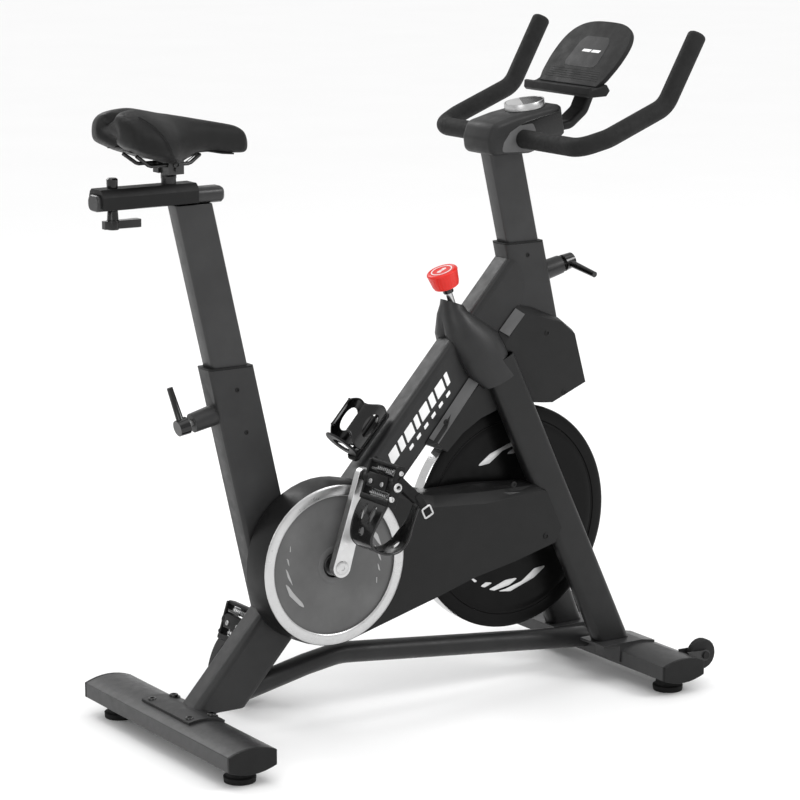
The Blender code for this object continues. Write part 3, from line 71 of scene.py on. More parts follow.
BEAM_ALONG, BEAM_UP = side_direction(47.9), side_direction(137.9)
SEAT_ALONG, BAR_ALONG = side_direction(102.9), side_direction(103.0)
ROD_DOWN = side_direction(-69.5)
TOE, FOOT = np.array([-0.30, 0.0, -0.954]), np.array([0.954, 0.0, -0.30])   # along and out of a pedal's sole

BEAM_START = np.array([5.0, 0.0, 486.3])
SEAT_SLEEVE_TOP = np.array([-341.5, 0.0, 679.0])
BAR_SLEEVE_TOP = np.array([287.0, 0.0, 848.5])
SLEEVE_WALL = 24.6                        # a sleeve's outer wall, out from the side plane
PEDALS = ((-1, "right", np.array([-120.1, -170.0, 476.1])), (1, "left", np.array([-219.5, 170.0, 150.9])))
SIDES = ((-1, "right"), (1, "left"))


def spot(x, z, y=0.0):
    """A point given by its place in the side plane and how far it is to the left."""
    return np.array([x, y, z], float)


# ---------------------------------------------------------------- shape functions

def metres(points):
    """The drawing's millimetres as the frame's metres."""
    return (np.asarray(points, float) + CENTRING) * 0.001


def unit(vectors):
    """Vectors scaled to length 1."""
    vectors = np.asarray(vectors, float)
    return vectors / np.maximum(np.linalg.norm(vectors, axis=-1, keepdims=True), 1e-12)


def smooth_step(values, low, high):
    """0 below low, 1 above high, and an S-shaped rise 3t^2 - 2t^3 between them."""
    share = np.clip((np.asarray(values, float) - low) / (high - low), 0.0, 1.0)
    return share * share * (3.0 - 2.0 * share)


def through(stations, places):
    """Rows of numbers eased through stations: cubic Hermite curve with Catmull-Rom slopes."""
    table = np.asarray(stations, float)
    knots, values = table[:, 0], table[:, 1:]
    slopes = np.gradient(values, knots, axis=0)
    places = np.clip(np.asarray(places, float), knots[0], knots[-1])
    cell = np.clip(np.searchsorted(knots, places, side="right") - 1, 0, len(knots) - 2)
    width = (knots[cell + 1] - knots[cell])[:, None]
    t = ((places - knots[cell]) / width[:, 0])[:, None]
    before, after = values[cell], values[cell + 1]
    result = (before * (2 * t**3 - 3 * t**2 + 1) + after * (3 * t**2 - 2 * t**3)
              + slopes[cell] * width * (t**3 - 2 * t**2 + t) + slopes[cell + 1] * width * (t**3 - t**2))
    return result if values.shape[1] > 1 else result[:, 0]


def eased_corners(corners, radius, steps=6, closed=False):
    """Polyline whose corners are replaced by parabolas that start radius-sized tangents away from them."""
    corners = np.asarray(corners, float)
    count = len(corners)
    route = []
    for index in range(count):
        corner = corners[index]
        if not closed and index in (0, count - 1):
            route.append(corner[None])
            continue
        to_before, to_after = corners[index - 1] - corner, corners[(index + 1) % count] - corner
        long_before, long_after = np.linalg.norm(to_before), np.linalg.norm(to_after)
        bend = math.acos(float(np.clip(-(to_before @ to_after) / (long_before * long_after), -1, 1)))
        reach = min(radius * math.tan(bend / 2), 0.48 * long_before, 0.48 * long_after)
        if bend < 0.02:
            route.append(corner[None])
            continue
        start, end = corner + to_before / long_before * reach, corner + to_after / long_after * reach
        t = np.linspace(0, 1, steps + 1)[:, None]
        route.append(start * (1 - t) ** 2 + 2 * corner * t * (1 - t) + end * t**2)
    return np.vstack(route)


def arc_points(centre, radius, start, end, count):
    """Points of a circle about (x, z), from one angle in degrees to another."""
    angle = np.radians(np.linspace(start, end, count))
    return np.stack([centre[0] + radius * np.cos(angle), centre[1] + radius * np.sin(angle)], 1)


def superellipse(half_u, half_v, count=48, power=2.0):
    """Outline |u/a|^p + |v/b|^p = 1; p = 2 is an ellipse and a larger p squares it."""
    angle = np.linspace(0, 2 * np.pi, count, endpoint=False)
    c, s = np.cos(angle), np.sin(angle)
    return np.stack([half_u * np.sign(c) * np.abs(c) ** (2 / power),
                     half_v * np.sign(s) * np.abs(s) ** (2 / power)], 1)


def rounded_box_line(width, height, corner, steps=6):
    """Rectangle whose corners are quarter circles."""
    half_u, half_v = width / 2 - corner, height / 2 - corner
    turns = []
    for u, v, start in ((1, 1, 0), (-1, 1, 90), (-1, -1, 180), (1, -1, 270)):
        turns.append(arc_points((u * half_u, v * half_v), corner, start, start + 90, steps + 1))
    return np.vstack(turns)


def outward(outline):
    """Unit normals of a closed outline of (u, v) points, pointing away from its inside."""
    before, after = np.roll(outline, 1, 0), np.roll(outline, -1, 0)
    tangent = unit(after - before)
    area = np.sum(outline[:, 0] * after[:, 1] - outline[:, 1] * after[:, 0])
    normal = np.stack([tangent[:, 1], -tangent[:, 0]], 1)
    return normal if area > 0 else -normal


def skin(rows, close_rows=False, caps=True):
    """A grid of points as vertices and faces; its columns close round, its end rows get flat caps."""
    rows = np.asarray(rows, float)
    height, width = rows.shape[:2]
    r = np.arange(height if close_rows else height - 1)[:, None]
    c = np.arange(width)[None, :]
    below, beside = (r + 1) % height, (c + 1) % width
    quads = np.stack([r * width + c, r * width + beside, below * width + beside, below * width + c], -1)
    faces = quads.reshape(-1, 4).tolist()
    if caps and not close_rows:
        faces.append(list(range(width))[::-1])
        faces.append(list(range((height - 1) * width, height * width)))
    return rows.reshape(-1, 3), faces


def turned(profile, centre, axis, sides=96, ring=False):
    """Surface of revolution: (radius, height) pairs turned about an axis through a centre."""
    profile = np.asarray(profile, float)
    axis = unit(axis)
    helper = np.array([0.0, 1.0, 0.0]) if abs(axis[1]) < 0.9 else np.array([1.0, 0.0, 0.0])
    u_axis = unit(np.cross(helper, axis))
    v_axis = np.cross(axis, u_axis)
    angle = np.linspace(0, 2 * np.pi, sides, endpoint=False)
    spokes = np.cos(angle)[:, None] * u_axis + np.sin(angle)[:, None] * v_axis
    rows = profile[:, 0, None, None] * spokes[None] + profile[:, 1, None, None] * axis
    return skin(rows + np.asarray(centre, float), close_rows=ring)


def swept(route, outline, side=(0, 1, 0), sizes=None, caps=True):
    """An outline (u, v) carried along a route; side is the direction its v axis keeps to."""
    route = np.asarray(route, float)
    along = unit(np.gradient(route, axis=0))
    u_axis = unit(np.cross(np.asarray(side, float), along))
    v_axis = np.cross(along, u_axis)
    sizes = np.ones(len(route)) if sizes is None else np.asarray(sizes, float)
    rows = (route[:, None] + sizes[:, None, None] * (outline[None, :, 0, None] * u_axis[:, None]
                                                     + outline[None, :, 1, None] * v_axis[:, None]))
    return skin(rows, caps=caps)


def slab(outline, low, high, origin, u_axis, v_axis, lift_axis, edge=1.0, top_edge=None):
    """Plate of an outline, from low to high along lift_axis, whose rims are rounded over."""
    outline = np.asarray(outline, float)
    normal = outward(outline)
    top_edge = edge if top_edge is None else top_edge
    turn = np.radians(np.linspace(0, 90, 4))
    levels = [(low + edge * (1 - math.sin(a)), edge * (1 - math.cos(a))) for a in turn[::-1]]
    levels += [(high - top_edge * (1 - math.sin(a)), top_edge * (1 - math.cos(a))) for a in turn]
    rows = []
    for height, inset in levels:
        line = outline - normal * inset
        rows.append(origin + line[:, :1] * u_axis + line[:, 1:] * v_axis + height * np.asarray(lift_axis))
    return skin(np.array(rows))


def side_slab(outline, low, high, edge=1.0, top_edge=None):
    """Plate of an (x, z) outline between two distances across the bike."""
    return slab(outline, low, high, np.zeros(3), spot(1, 0), spot(0, 1), ACROSS, edge, top_edge)


def bar_between(start, end, radius, end_radius=None, edge=1.2, sides=40):
    """Round bar with eased ends: a turned profile from start to end."""
    start, end = np.asarray(start, float), np.asarray(end, float)
    length = np.linalg.norm(end - start)
    last = radius if end_radius is None else end_radius
    profile = [(radius - edge, 0), (radius - 0.3 * edge, 0.3 * edge), (radius, edge),
               (last, length - edge), (last - 0.3 * edge, length - 0.3 * edge), (last - edge, length)]
    return turned(profile, start, end - start, sides)


def joined(*parts):
    """Several vertex and face lists as one."""
    verts, faces, offset = [], [], 0
    for points, cells in parts:
        verts.append(np.asarray(points, float))
        faces += [[index + offset for index in cell] for cell in cells]
        offset += len(points)
    return np.vstack(verts), faces


# ---------------------------------------------------------------- turning shapes into pieces

def shade(mesh, angle):
    """Smooth shading, broken where faces meet at more than an angle in degrees."""
    mesh.shade_smooth()
    mesh.set_sharp_from_angle(angle=math.radians(angle))


def piece(name, part, finish, node, hides=(), angle=35.0, levels=0):
    """A closed shape as an object that rides on a node's body, takes its finish and may stand for nodes."""
    points, faces = part
    mesh = bpy.data.meshes.new(name)
    mesh.from_pydata(metres(points).tolist(), [], faces)
    work = bmesh.new()
    work.from_mesh(mesh)
    bmesh.ops.remove_doubles(work, verts=work.verts, dist=1e-6)
    bmesh.ops.recalc_face_normals(work, faces=work.faces)
    work.to_mesh(mesh)
    work.free()
    shade(mesh, angle)
    thing = bpy.data.objects.new(name, mesh)
    return dress(thing, FINISHES[finish], BODY_OF[node], hides, levels)


def dress(thing, finish, body, hides=(), levels=0):
    """Link an object, give it its finish and tie it to a body."""
    if thing.name not in bpy.context.scene.collection.objects:
        bpy.context.scene.collection.objects.link(thing)
    thing.data.materials.clear()
    thing.data.materials.append(finish)
    if levels:
        rounder = thing.modifiers.new("rounder", "SUBSURF")
        rounder.levels = rounder.render_levels = levels
    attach(thing, body)
    if hides:
        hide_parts(*hides)
    return thing


BODY_OF = {node: body for body, nodes in frame["record"]["behaviour"]["bodies"].items() for node in nodes}


def eased_copy(node, finish, edge=0.7, angle=32.0):
    """A frame node's own shape with its points merged, its flats joined and its edges rounded."""
    mesh = frame["nodes"][node].data.copy()
    mesh.name = node + "_shell"
    work = bmesh.new()
    work.from_mesh(mesh)
    bmesh.ops.remove_doubles(work, verts=work.verts, dist=2e-6)
    bmesh.ops.dissolve_limit(work, angle_limit=math.radians(1.0), verts=work.verts, edges=work.edges)
    work.to_mesh(mesh)
    work.free()
    shade(mesh, angle)
    shell = bpy.data.objects.new(node + "_shell", mesh)
    thing = dress(shell, FINISHES[finish], BODY_OF[node], (node,))
    if edge:
        bevel = thing.modifiers.new("eased_edges", "BEVEL")
        bevel.width = edge * 0.001
        bevel.segments = 2
        bevel.limit_method = "ANGLE"
        bevel.angle_limit = math.radians(38.0)
        bevel.use_clamp_overlap = True
        bevel.harden_normals = False
    return thing


def screw_head(centre, axis, radius, height=2.6):
    """Domed head with a six-sided socket: a turned dome whose middle dips in."""
    dome = [(radius, 0), (radius, height * 0.55), (radius * 0.86, height * 0.9), (radius * 0.55, height),
            (radius * 0.52, height), (radius * 0.48, height * 0.35), (0.2, height * 0.3)]
    return turned(dome, centre, axis, 28)


# ---------------------------------------------------------------- finishes

class Finish:
    """Builds one material's nodes in reading order; every pattern reads Object coordinates."""

    def __init__(self, name):
        self.material = bpy.data.materials.new(name)
        self.material.use_nodes = True
        self.nodes = self.material.node_tree.nodes
        self.links = self.material.node_tree.links
        self.shader = self.nodes["Principled BSDF"]
        self.place = self.nodes.new("ShaderNodeTexCoord").outputs["Object"]

    def plug(self, source, socket):
        if hasattr(source, "is_linked"):
            self.links.new(source, socket)
        else:
            socket.default_value = source

    def stretch(self, x, y, z, turn=(0, 0, 0)):
        """Object coordinates turned and scaled, for grain that runs along one direction."""
        mapping = self.nodes.new("ShaderNodeMapping")
        mapping.inputs["Rotation"].default_value = turn
        mapping.inputs["Scale"].default_value = (x, y, z)
        self.links.new(self.place, mapping.inputs["Vector"])
        return mapping.outputs["Vector"]

    def noise(self, scale, detail=3.0, rough=0.55, vector=None):
        node = self.nodes.new("ShaderNodeTexNoise")
        node.inputs["Scale"].default_value = scale
        node.inputs["Detail"].default_value = detail
        node.inputs["Roughness"].default_value = rough
        self.links.new(vector or self.place, node.inputs["Vector"])
        return node.outputs["Fac"]

    def cells(self, scale, feature="F1", vector=None):
        node = self.nodes.new("ShaderNodeTexVoronoi")
        node.feature = feature
        node.inputs["Scale"].default_value = scale
        self.links.new(vector or self.place, node.inputs["Vector"])
        return node.outputs["Distance"]

    def spread(self, source, low, high, new_low, new_high):
        node = self.nodes.new("ShaderNodeMapRange")
        limits = {"From Min": low, "From Max": high, "To Min": new_low, "To Max": new_high}
        for socket, value in limits.items():
            node.inputs[socket].default_value = value
        self.links.new(source, node.inputs["Value"])
        return node.outputs["Result"]

    def math(self, operation, first, second):
        node = self.nodes.new("ShaderNodeMath")
        node.operation = operation
        self.plug(first, node.inputs[0])
        self.plug(second, node.inputs[1])
        return node.outputs[0]

    def mixed(self, share, first, second):
        node = self.nodes.new("ShaderNodeMix")
        node.data_type = "RGBA"
        self.plug(share, node.inputs[0])
        self.plug(first, node.inputs[6])
        self.plug(second, node.inputs[7])
        return node.outputs[2]

    def edge_wear(self, width=0.0016):
        """0 in flats and up to 1 on sharp edges: how far a rounded normal turns from the true one."""
        bevel = self.nodes.new("ShaderNodeBevel")
        bevel.samples = 4
        bevel.inputs["Radius"].default_value = width
        geometry = self.nodes.new("ShaderNodeNewGeometry")
        dot = self.nodes.new("ShaderNodeVectorMath")
        dot.operation = "DOT_PRODUCT"
        self.links.new(bevel.outputs["Normal"], dot.inputs[0])
        self.links.new(geometry.outputs["Normal"], dot.inputs[1])
        return self.spread(dot.outputs["Value"], 0.98, 0.80, 0.0, 1.0)

    def bump(self, height, strength, distance):
        node = self.nodes.new("ShaderNodeBump")
        node.inputs["Strength"].default_value = strength
        node.inputs["Distance"].default_value = distance
        self.links.new(height, node.inputs["Height"])
        self.links.new(node.outputs["Normal"], self.shader.inputs["Normal"])
        return node

    def set(self, **values):
        for name, value in values.items():
            self.plug(value, self.shader.inputs[name.replace("_", " ")])
        return self.material


def grey(value, tint=(1.0, 1.0, 1.0)):
    """Linear colour of a display grey from 0 to 255."""
    share = value / 255
    linear = share / 12.92 if share <= 0.04045 else ((share + 0.055) / 1.055) ** 2.4
    return tuple(linear * part for part in tint) + (1.0,)


def painted(name, value, rough=0.42, grain=1400.0, bump=0.16, coat=0.0, wear=0.35, tint=(1.0, 1.0, 1.02)):
    """Powder coat: fine orange-peel bumps, slow mottling, dust in patches and paler worn edges."""
    f = Finish(name)
    peel = f.noise(grain, 2.0, 0.5)
    slow = f.noise(16.0, 4.0)
    mottled = f.mixed(f.spread(slow, 0.35, 0.7, 0.0, 1.0), grey(value, tint), grey(value * 1.12 + 2, tint))
    rubbed = f.math("MULTIPLY", f.edge_wear(), f.spread(f.noise(90.0, 4.0), 0.45, 0.75, 0.0, wear))
    colour = f.mixed(rubbed, mottled, grey(min(value * 1.5 + 26, 230), tint))
    f.bump(f.math("ADD", peel, f.math("MULTIPLY", slow, 0.4)), bump, 0.0004)
    uneven = f.spread(f.noise(60.0, 5.0), 0.3, 0.7, rough - 0.06, rough + 0.09)
    return f.set(Base_Color=colour, Roughness=uneven, Specular_IOR_Level=0.3, Coat_Weight=coat,
                 Coat_Roughness=0.22)


def moulded(name, value, rough=0.5, grain=2600.0, bump=0.22, tint=(1.0, 1.0, 1.01), coat=0.0):
    """Moulded plastic: pebbled grain from small cells, faint flow marks and soft scuffs."""
    f = Finish(name)
    pebble = f.cells(grain)
    flow = f.noise(1.0, 3.0, 0.6, f.stretch(9.0, 26.0, 9.0))
    strokes = f.stretch(160.0, 160.0, 24.0, (0.3, 0.5, 0.1))
    scuff = f.spread(f.noise(1.0, 6.0, 0.7, strokes), 0.62, 0.74, 0.0, 0.18)
    base = f.mixed(f.spread(flow, 0.3, 0.7, 0.0, 1.0), grey(value * 0.95, tint), grey(value * 1.08 + 1, tint))
    colour = f.mixed(f.math("MAXIMUM", scuff, f.math("MULTIPLY", f.edge_wear(0.001), 0.16)), base,
                     grey(min(value * 1.35 + 18, 235), tint))
    f.bump(f.math("ADD", pebble, f.math("MULTIPLY", flow, 0.6)), bump, 0.00022)
    uneven = f.spread(f.noise(45.0, 5.0), 0.3, 0.7, rough - 0.05, rough + 0.1)
    return f.set(Base_Color=colour, Roughness=uneven, Specular_IOR_Level=0.2, Coat_Weight=coat,
                 Coat_Roughness=0.12)


def glossy(name, value, rough=0.16, tint=(1.0, 1.0, 1.0), shine=0.4, coat=0.15):
    """Polished plastic or lacquer: shallow waves, hairline scratches and fingerprints in its gloss."""
    f = Finish(name)
    strokes = f.stretch(900.0, 900.0, 34.0, (0.6, 0.9, 0.2))
    hair = f.spread(f.noise(1.0, 6.0, 0.75, strokes), 0.60, 0.70, 0.0, 1.0)
    waves = f.noise(28.0, 2.0)
    prints = f.spread(f.noise(34.0, 5.0, 0.65), 0.5, 0.68, 0.0, 0.14)
    colour = f.mixed(f.math("MULTIPLY", hair, 0.08), grey(value, tint), grey(min(value + 60, 240), tint))
    f.bump(f.math("ADD", waves, f.math("MULTIPLY", hair, -0.03)), 0.07, 0.0008)
    return f.set(Base_Color=colour, Roughness=f.math("ADD", prints, rough), Specular_IOR_Level=shine,
                 Coat_Weight=coat, Coat_Roughness=0.06)


def metal(name, value, rough, along=(1.0, 1.0, 1.0), brushed=0.0, tint=(1.0, 1.0, 1.0), bump=0.06):
    """Bare metal: stretched noise as brushing, clouded polish and a few darker spots."""
    f = Finish(name)
    lines = f.noise(1.0, 4.0, 0.6, f.stretch(*(260.0 * part for part in along)))
    cloud = f.noise(36.0, 5.0, 0.6)
    spots = f.spread(f.noise(210.0, 3.0), 0.66, 0.74, 0.0, 0.35)
    colour = f.mixed(spots, f.mixed(cloud, grey(value * 0.93, tint), grey(min(value * 1.05, 252), tint)),
                     grey(value * 0.55, tint))
    f.bump(f.math("ADD", lines, f.math("MULTIPLY", cloud, 0.5)), bump + 0.12 * brushed, 0.0002)
    uneven = f.math("ADD", f.spread(lines, 0.3, 0.7, -0.05 - 0.08 * brushed, 0.06 + 0.1 * brushed),
                    f.spread(cloud, 0.3, 0.7, rough - 0.03, rough + 0.08))
    return f.set(Base_Color=colour, Roughness=uneven, Metallic=1.0)


def rubbery(name, value, grain=900.0, rough=0.72, bump=0.45):
    """Rubber or foam: closed pores as small cells over a soft unevenness, chalky where it is rubbed."""
    f = Finish(name)
    pores, uneven = f.cells(grain), f.noise(120.0, 4.0)
    rub = f.spread(f.noise(30.0, 4.0, 0.6), 0.5, 0.72, 0.0, 0.35)
    colour = f.mixed(rub, grey(value), grey(value * 1.3 + 6))
    f.bump(f.math("ADD", pores, f.math("MULTIPLY", uneven, 0.8)), bump, 0.0005)
    return f.set(Base_Color=colour, Roughness=f.spread(uneven, 0.3, 0.7, rough - 0.08, rough + 0.1),
                 Specular_IOR_Level=0.22)


def leathered(name, value):
    """Synthetic leather: creased cells of two sizes, a slow sheen variation and polish in slow random
    patches.
    """
    f = Finish(name)
    creases, fine = f.cells(420.0, "DISTANCE_TO_EDGE"), f.cells(1100.0, "DISTANCE_TO_EDGE")
    folds = f.noise(70.0, 3.0)
    height = f.math("ADD", f.math("MINIMUM", creases, 0.12),
                    f.math("MULTIPLY", f.math("MINIMUM", fine, 0.1), 0.5))
    polish = f.spread(f.noise(14.0, 3.0), 0.35, 0.7, 0.0, 1.0)
    colour = f.mixed(polish, grey(value), grey(value * 1.2 + 5))
    f.bump(f.math("ADD", f.math("MULTIPLY", height, 3.0), f.math("MULTIPLY", folds, 0.5)), 0.5, 0.0005)
    return f.set(Base_Color=colour, Roughness=f.math("ADD", f.math("MULTIPLY", polish, -0.1), 0.52),
                 Specular_IOR_Level=0.2, Sheen_Weight=0.01)


def felted(name, value):
    """Felt: matted short fibres from strongly warped fine noise."""
    f = Finish(name)
    fibres = f.noise(800.0, 6.0, 0.8, f.stretch(1.0, 0.4, 1.6, (0.5, 0.2, 0.8)))
    tufts = f.noise(160.0, 3.0)
    colour = f.mixed(fibres, grey(value * 0.7), grey(value * 1.3, (1.0, 0.97, 0.92)))
    f.bump(f.math("ADD", fibres, tufts), 0.6, 0.0008)
    return f.set(Base_Color=colour, Roughness=f.spread(tufts, 0.3, 0.7, 0.85, 0.98), Sheen_Weight=0.4)


FINISHES = {}


def build_finishes():
    """All the materials, by the short names that the operators use."""
    FINISHES.update({
        "frame": painted("frame_paint", 30, 0.40),
        "leg": painted("leg_paint", 20, 0.36),
        "sleeve": painted("sleeve_paint", 34, 0.40),
        "post": painted("post_paint", 38, 0.36, 1100.0, 0.08, 0.15),
        "bars": painted("stabiliser_paint", 40, 0.36, 1300.0, 0.14, 0.1),
        "guard": moulded("guard_plastic", 20, 0.36, 2200.0, 0.10, coat=0.02),
        "disc": painted("disc_paint", 84, 0.42, 1500.0, 0.12, tint=(1.0, 1.0, 1.0)),
        "shroud": moulded("shroud_plastic", 26, 0.42, 2400.0, 0.16),
        "strip": moulded("shroud_strip_plastic", 84, 0.48, 2600.0, 0.14),
        "plastic": moulded("black_plastic", 20, 0.46),
        "rough_plastic": moulded("coarse_black_plastic", 26, 0.58, 1500.0, 0.4),
        "console": moulded("console_plastic", 38, 0.44, 2800.0, 0.16),
        "console_dark": glossy("console_band", 12, 0.24),
        "holder": moulded("holder_plastic", 26, 0.55, 2400.0, 0.24),
        "holder_plate": moulded("holder_plate_plastic", 52, 0.52, 2400.0, 0.2),
        "gloss": glossy("gloss_black", 8, 0.15),
        "wheel_face": glossy("flywheel_face", 8, 0.3, shine=0.1, coat=0.02),
        "red": glossy("knob_red", 212, 0.3, (1.0, 0.03, 0.02), 0.3, 0.05),
        "white": glossy("white_print", 232, 0.35),
        # Silver of the flywheel covers' streaks and of the painted reflection on the dial's glass.
        "silver": metal("silver_print_and_reflection", 212, 0.34),
        # Soft silver of the painted highlights on the guard disc.
        "painted_highlight_silver": metal("silver_highlight_paint", 170, 0.42),
        "graphite": metal("graphite_print", 104, 0.4),
        "chrome": metal("chrome_plate", 214, 0.1),
        "trim": metal("trim_aluminium", 196, 0.3, (1.0, 6.0, 1.0), 0.2),
        "arm": metal("crank_aluminium", 206, 0.32, (0.2, 3.0, 0.2), 0.4, bump=0.03),
        "steel": metal("bright_steel", 196, 0.28, (1.0, 1.0, 1.0), 0.2),
        "dark_steel": metal("dark_steel", 70, 0.38, (1.0, 1.0, 1.0), 0.2),
        "rubber": rubbery("black_rubber", 20),
        "belt": rubbery("belt_rubber", 18, 700.0),
        "grip": rubbery("grip_foam", 24, 1000.0, 0.66, 0.5),
        "leather": leathered("saddle_leather", 12),
        "strap": rubbery("strap_webbing", 18, 1300.0, 0.7),
        "felt": felted("brake_felt", 140),
        "socket": painted("screw_socket", 8, 0.6, 900.0),
    })


# ---------------------------------------------------------------- the pieces that keep the frame's own shapes

def pair(node, finish, edge):
    """The same entry for a node of the left side and one of the right."""
    return [(node + "_left", finish, edge), (node + "_right", finish, edge)]


COPIES = {
    "frame_tubes": [("main_beam", "frame", 0.9), ("seat_sleeve", "sleeve", 0.7),
                    ("handlebar_sleeve", "sleeve", 0.7), ("lower_rail", "frame", 0.6),
                    *pair("fork_leg", "leg", 0.6), ("seat_sleeve_bushing", "plastic", 0.4),
                    ("handlebar_sleeve_bushing", "plastic", 0.4), ("flywheel_axle", "steel", 0.4)],
    "stabilisers": [("rear_stabiliser", "bars", 0.9), ("front_stabiliser", "bars", 0.9),
                    *pair("rear_end_cap", "plastic", 0.8), *pair("front_end_cap", "plastic", 0.8),
                    *pair("foot_front", "rubber", 0.5), *pair("foot_rear", "rubber", 0.5),
                    *pair("transport_wheel", "rough_plastic", 0.5)],
    "covers": [("front_shroud", "shroud", 0.8), ("fork_crown_cover", "sleeve", 0.8),
               ("belt_guard_back", "guard", 0.5), ("belt_guard_cover", "guard", 1.0),
               ("drive_belt", "belt", 0.0)],
    "cranks": [("crank_axle", "dark_steel", 0.4), *pair("crank_arm", "arm", 0.9)],
    "seat_carrier": [("seat_post", "post", 0.7), ("seat_rail", "post", 0.7), ("seat_slider", "plastic", 0.6),
                     ("saddle_stem", "post", 0.6), ("slider_clamp_lever", "gloss", 0.7),
                     ("seat_pin", "steel", 0.4), ("seat_pin_lever", "gloss", 0.7)],
    "saddle": [("saddle_base", "plastic", 0.5), ("saddle_rails", "dark_steel", 0.0),
               ("saddle_clamp", "dark_steel", 0.6)],
    "handlebar": [("handlebar_post", "post", 0.7), ("handlebar", "frame", 0.0),
                  ("handlebar_pin", "steel", 0.4), ("handlebar_pin_lever", "gloss", 0.7)],
    "brake": [("brake_rod", "steel", 0.3), ("brake_pad", "felt", 0.4)],
}


def copy_group(group):
    """Eased copies of the frame nodes of a group that no modelled piece stands for."""
    for node, finish, edge in COPIES[group]:
        eased_copy(node, finish, edge)


# ---------------------------------------------------------------- settings

def length(name, description, default):
    return bpy.props.FloatProperty(name=name, description=description, default=default, unit="LENGTH",
                                   subtype="DISTANCE", min=0.0)


class StageSettings(bpy.types.PropertyGroup):
    """Sizes and lights of the stage."""
    floor_size: length("Floor size", "Side of the square floor", 60.0)
    key_power: bpy.props.FloatProperty(name="Key light", description="Power of the large light on the right",
                                       default=80.0, unit="POWER", min=0.0)
    world_strength: bpy.props.FloatProperty(name="World strength", description="Brightness of the white room",
                                            default=0.72, min=0.0)
    sky_strength: bpy.props.FloatProperty(name="Skylight", description="Even light from above", default=1.1,
                                          min=0.0)
    lens: bpy.props.FloatProperty(name="Lens", description="Focal length on a 36 mm sensor", default=134.84,
                                  min=20.0)


class SaddleSettings(bpy.types.PropertyGroup):
    """How the saddle's padding is made."""
    voxel: length("Voxel", "Grid that the cushion is remeshed on before it swells", 0.0045)
    pressure: bpy.props.FloatProperty(name="Pressure", description="Air pressure under the cover",
                                      default=4.0)
    swell: length("Swell", "Furthest that the cover may move", 0.006)
    fill: bpy.props.FloatProperty(name="Fill", description="How tight the padding is", default=0.85,
                                  subtype="FACTOR", min=0.0, max=1.0)


class PrintAndHighlightSettings(bpy.types.PropertyGroup):
    """Raised marks: prints on the beam and painted highlight streaks on the guard disc."""
    # This thickness also lifts the guard disc's painted highlight streaks.
    thickness: length("Thickness", "How far a print stands proud", 0.0005)


# ---------------------------------------------------------------- operators

class Builder:
    """What every operator here shares."""
    bl_options = {"REGISTER", "UNDO"}


CAMERA_TARGET = Vector((0.01958, 0, 0.57824))
CAMERA_DISTANCE = 5.4769
CAMERA_BACK = Vector((-0.5385, -0.8181, 0.2021))
CAMERA_RIGHT, CAMERA_UP = Vector((0.8353, -0.5498, 0.0)), Vector((0.1111, 0.1688, 0.9795))


class BIKE_OT_stage(Builder, bpy.types.Operator):
    """Pale floor, white room, soft lights and the camera"""
    bl_idname = "bike.stage"
    bl_label = "Stage"

    def light(self, name, place, target, size, power):
        lamp = bpy.data.lights.new(name, "AREA")
        lamp.shape, lamp.size, lamp.energy = "DISK", size, power
        thing = bpy.data.objects.new(name, lamp)
        bpy.context.scene.collection.objects.link(thing)
        thing.location = place
        thing.rotation_euler = (Vector(target) - Vector(place)).to_track_quat("-Z", "Y").to_euler()

    def execute(self, context):
        settings = context.scene.bike_stage
        half = settings.floor_size / 2
        mesh = bpy.data.meshes.new("floor")
        mesh.from_pydata([(-half, -half, 0), (half, -half, 0), (half, half, 0), (-half, half, 0)], [],
                         [(0, 1, 2, 3)])
        floor = bpy.data.objects.new("floor", mesh)
        context.scene.collection.objects.link(floor)
        f = Finish("floor_paint")
        cloud = f.noise(1.5, 3.0)
        f.set(Base_Color=f.mixed(cloud, (0.90, 0.90, 0.90, 1), (0.93, 0.93, 0.93, 1)), Roughness=0.85)
        mesh.materials.append(f.material)

        world = bpy.data.worlds.new("white_room")
        context.scene.world = world
        world.use_nodes = True
        nodes, links = world.node_tree.nodes, world.node_tree.links
        room = nodes["Background"]
        room.inputs["Color"].default_value = (1, 1, 1, 1)
        room.inputs["Strength"].default_value = settings.world_strength
        seen = nodes.new("ShaderNodeBackground")
        seen.inputs["Color"].default_value = (1, 1, 1, 1)
        seen.inputs["Strength"].default_value = 1.0
        choice = nodes.new("ShaderNodeMixShader")
        links.new(nodes.new("ShaderNodeLightPath").outputs["Is Camera Ray"], choice.inputs["Fac"])
        links.new(room.outputs["Background"], choice.inputs[1])
        links.new(seen.outputs["Background"], choice.inputs[2])
        links.new(choice.outputs["Shader"], nodes["World Output"].inputs["Surface"])

        power = settings.key_power
        self.light("key", (2.6, -3.2, 3.4), (0, 0, 0.6), 1.8, power)
        self.light("fill", (-3.4, -2.2, 2.2), (0, 0, 0.6), 2.2, power * 0.35)
        self.light("rim", (-0.6, 3.4, 3.2), (0, 0, 0.7), 2.0, power * 0.6)

        sun = bpy.data.lights.new("skylight", "SUN")
        sun.energy, sun.angle = settings.sky_strength, math.radians(70)
        sky = bpy.data.objects.new("skylight", sun)
        context.scene.collection.objects.link(sky)
        sky.rotation_euler = (math.radians(8), math.radians(-6), 0)

        turn = Matrix((CAMERA_RIGHT, CAMERA_UP, CAMERA_BACK)).transposed().to_4x4()
        lens = bpy.data.cameras.new("camera")
        lens.lens, lens.sensor_width = settings.lens, 36.0
        lens.clip_end = 200.0
        lens.dof.use_dof = False
        camera = bpy.data.objects.new("camera", lens)
        context.scene.collection.objects.link(camera)
        camera.matrix_world = Matrix.Translation(CAMERA_TARGET + CAMERA_BACK * CAMERA_DISTANCE) @ turn
        context.scene.camera = camera
        context.scene.view_settings.view_transform = "Standard"
        return {"FINISHED"}


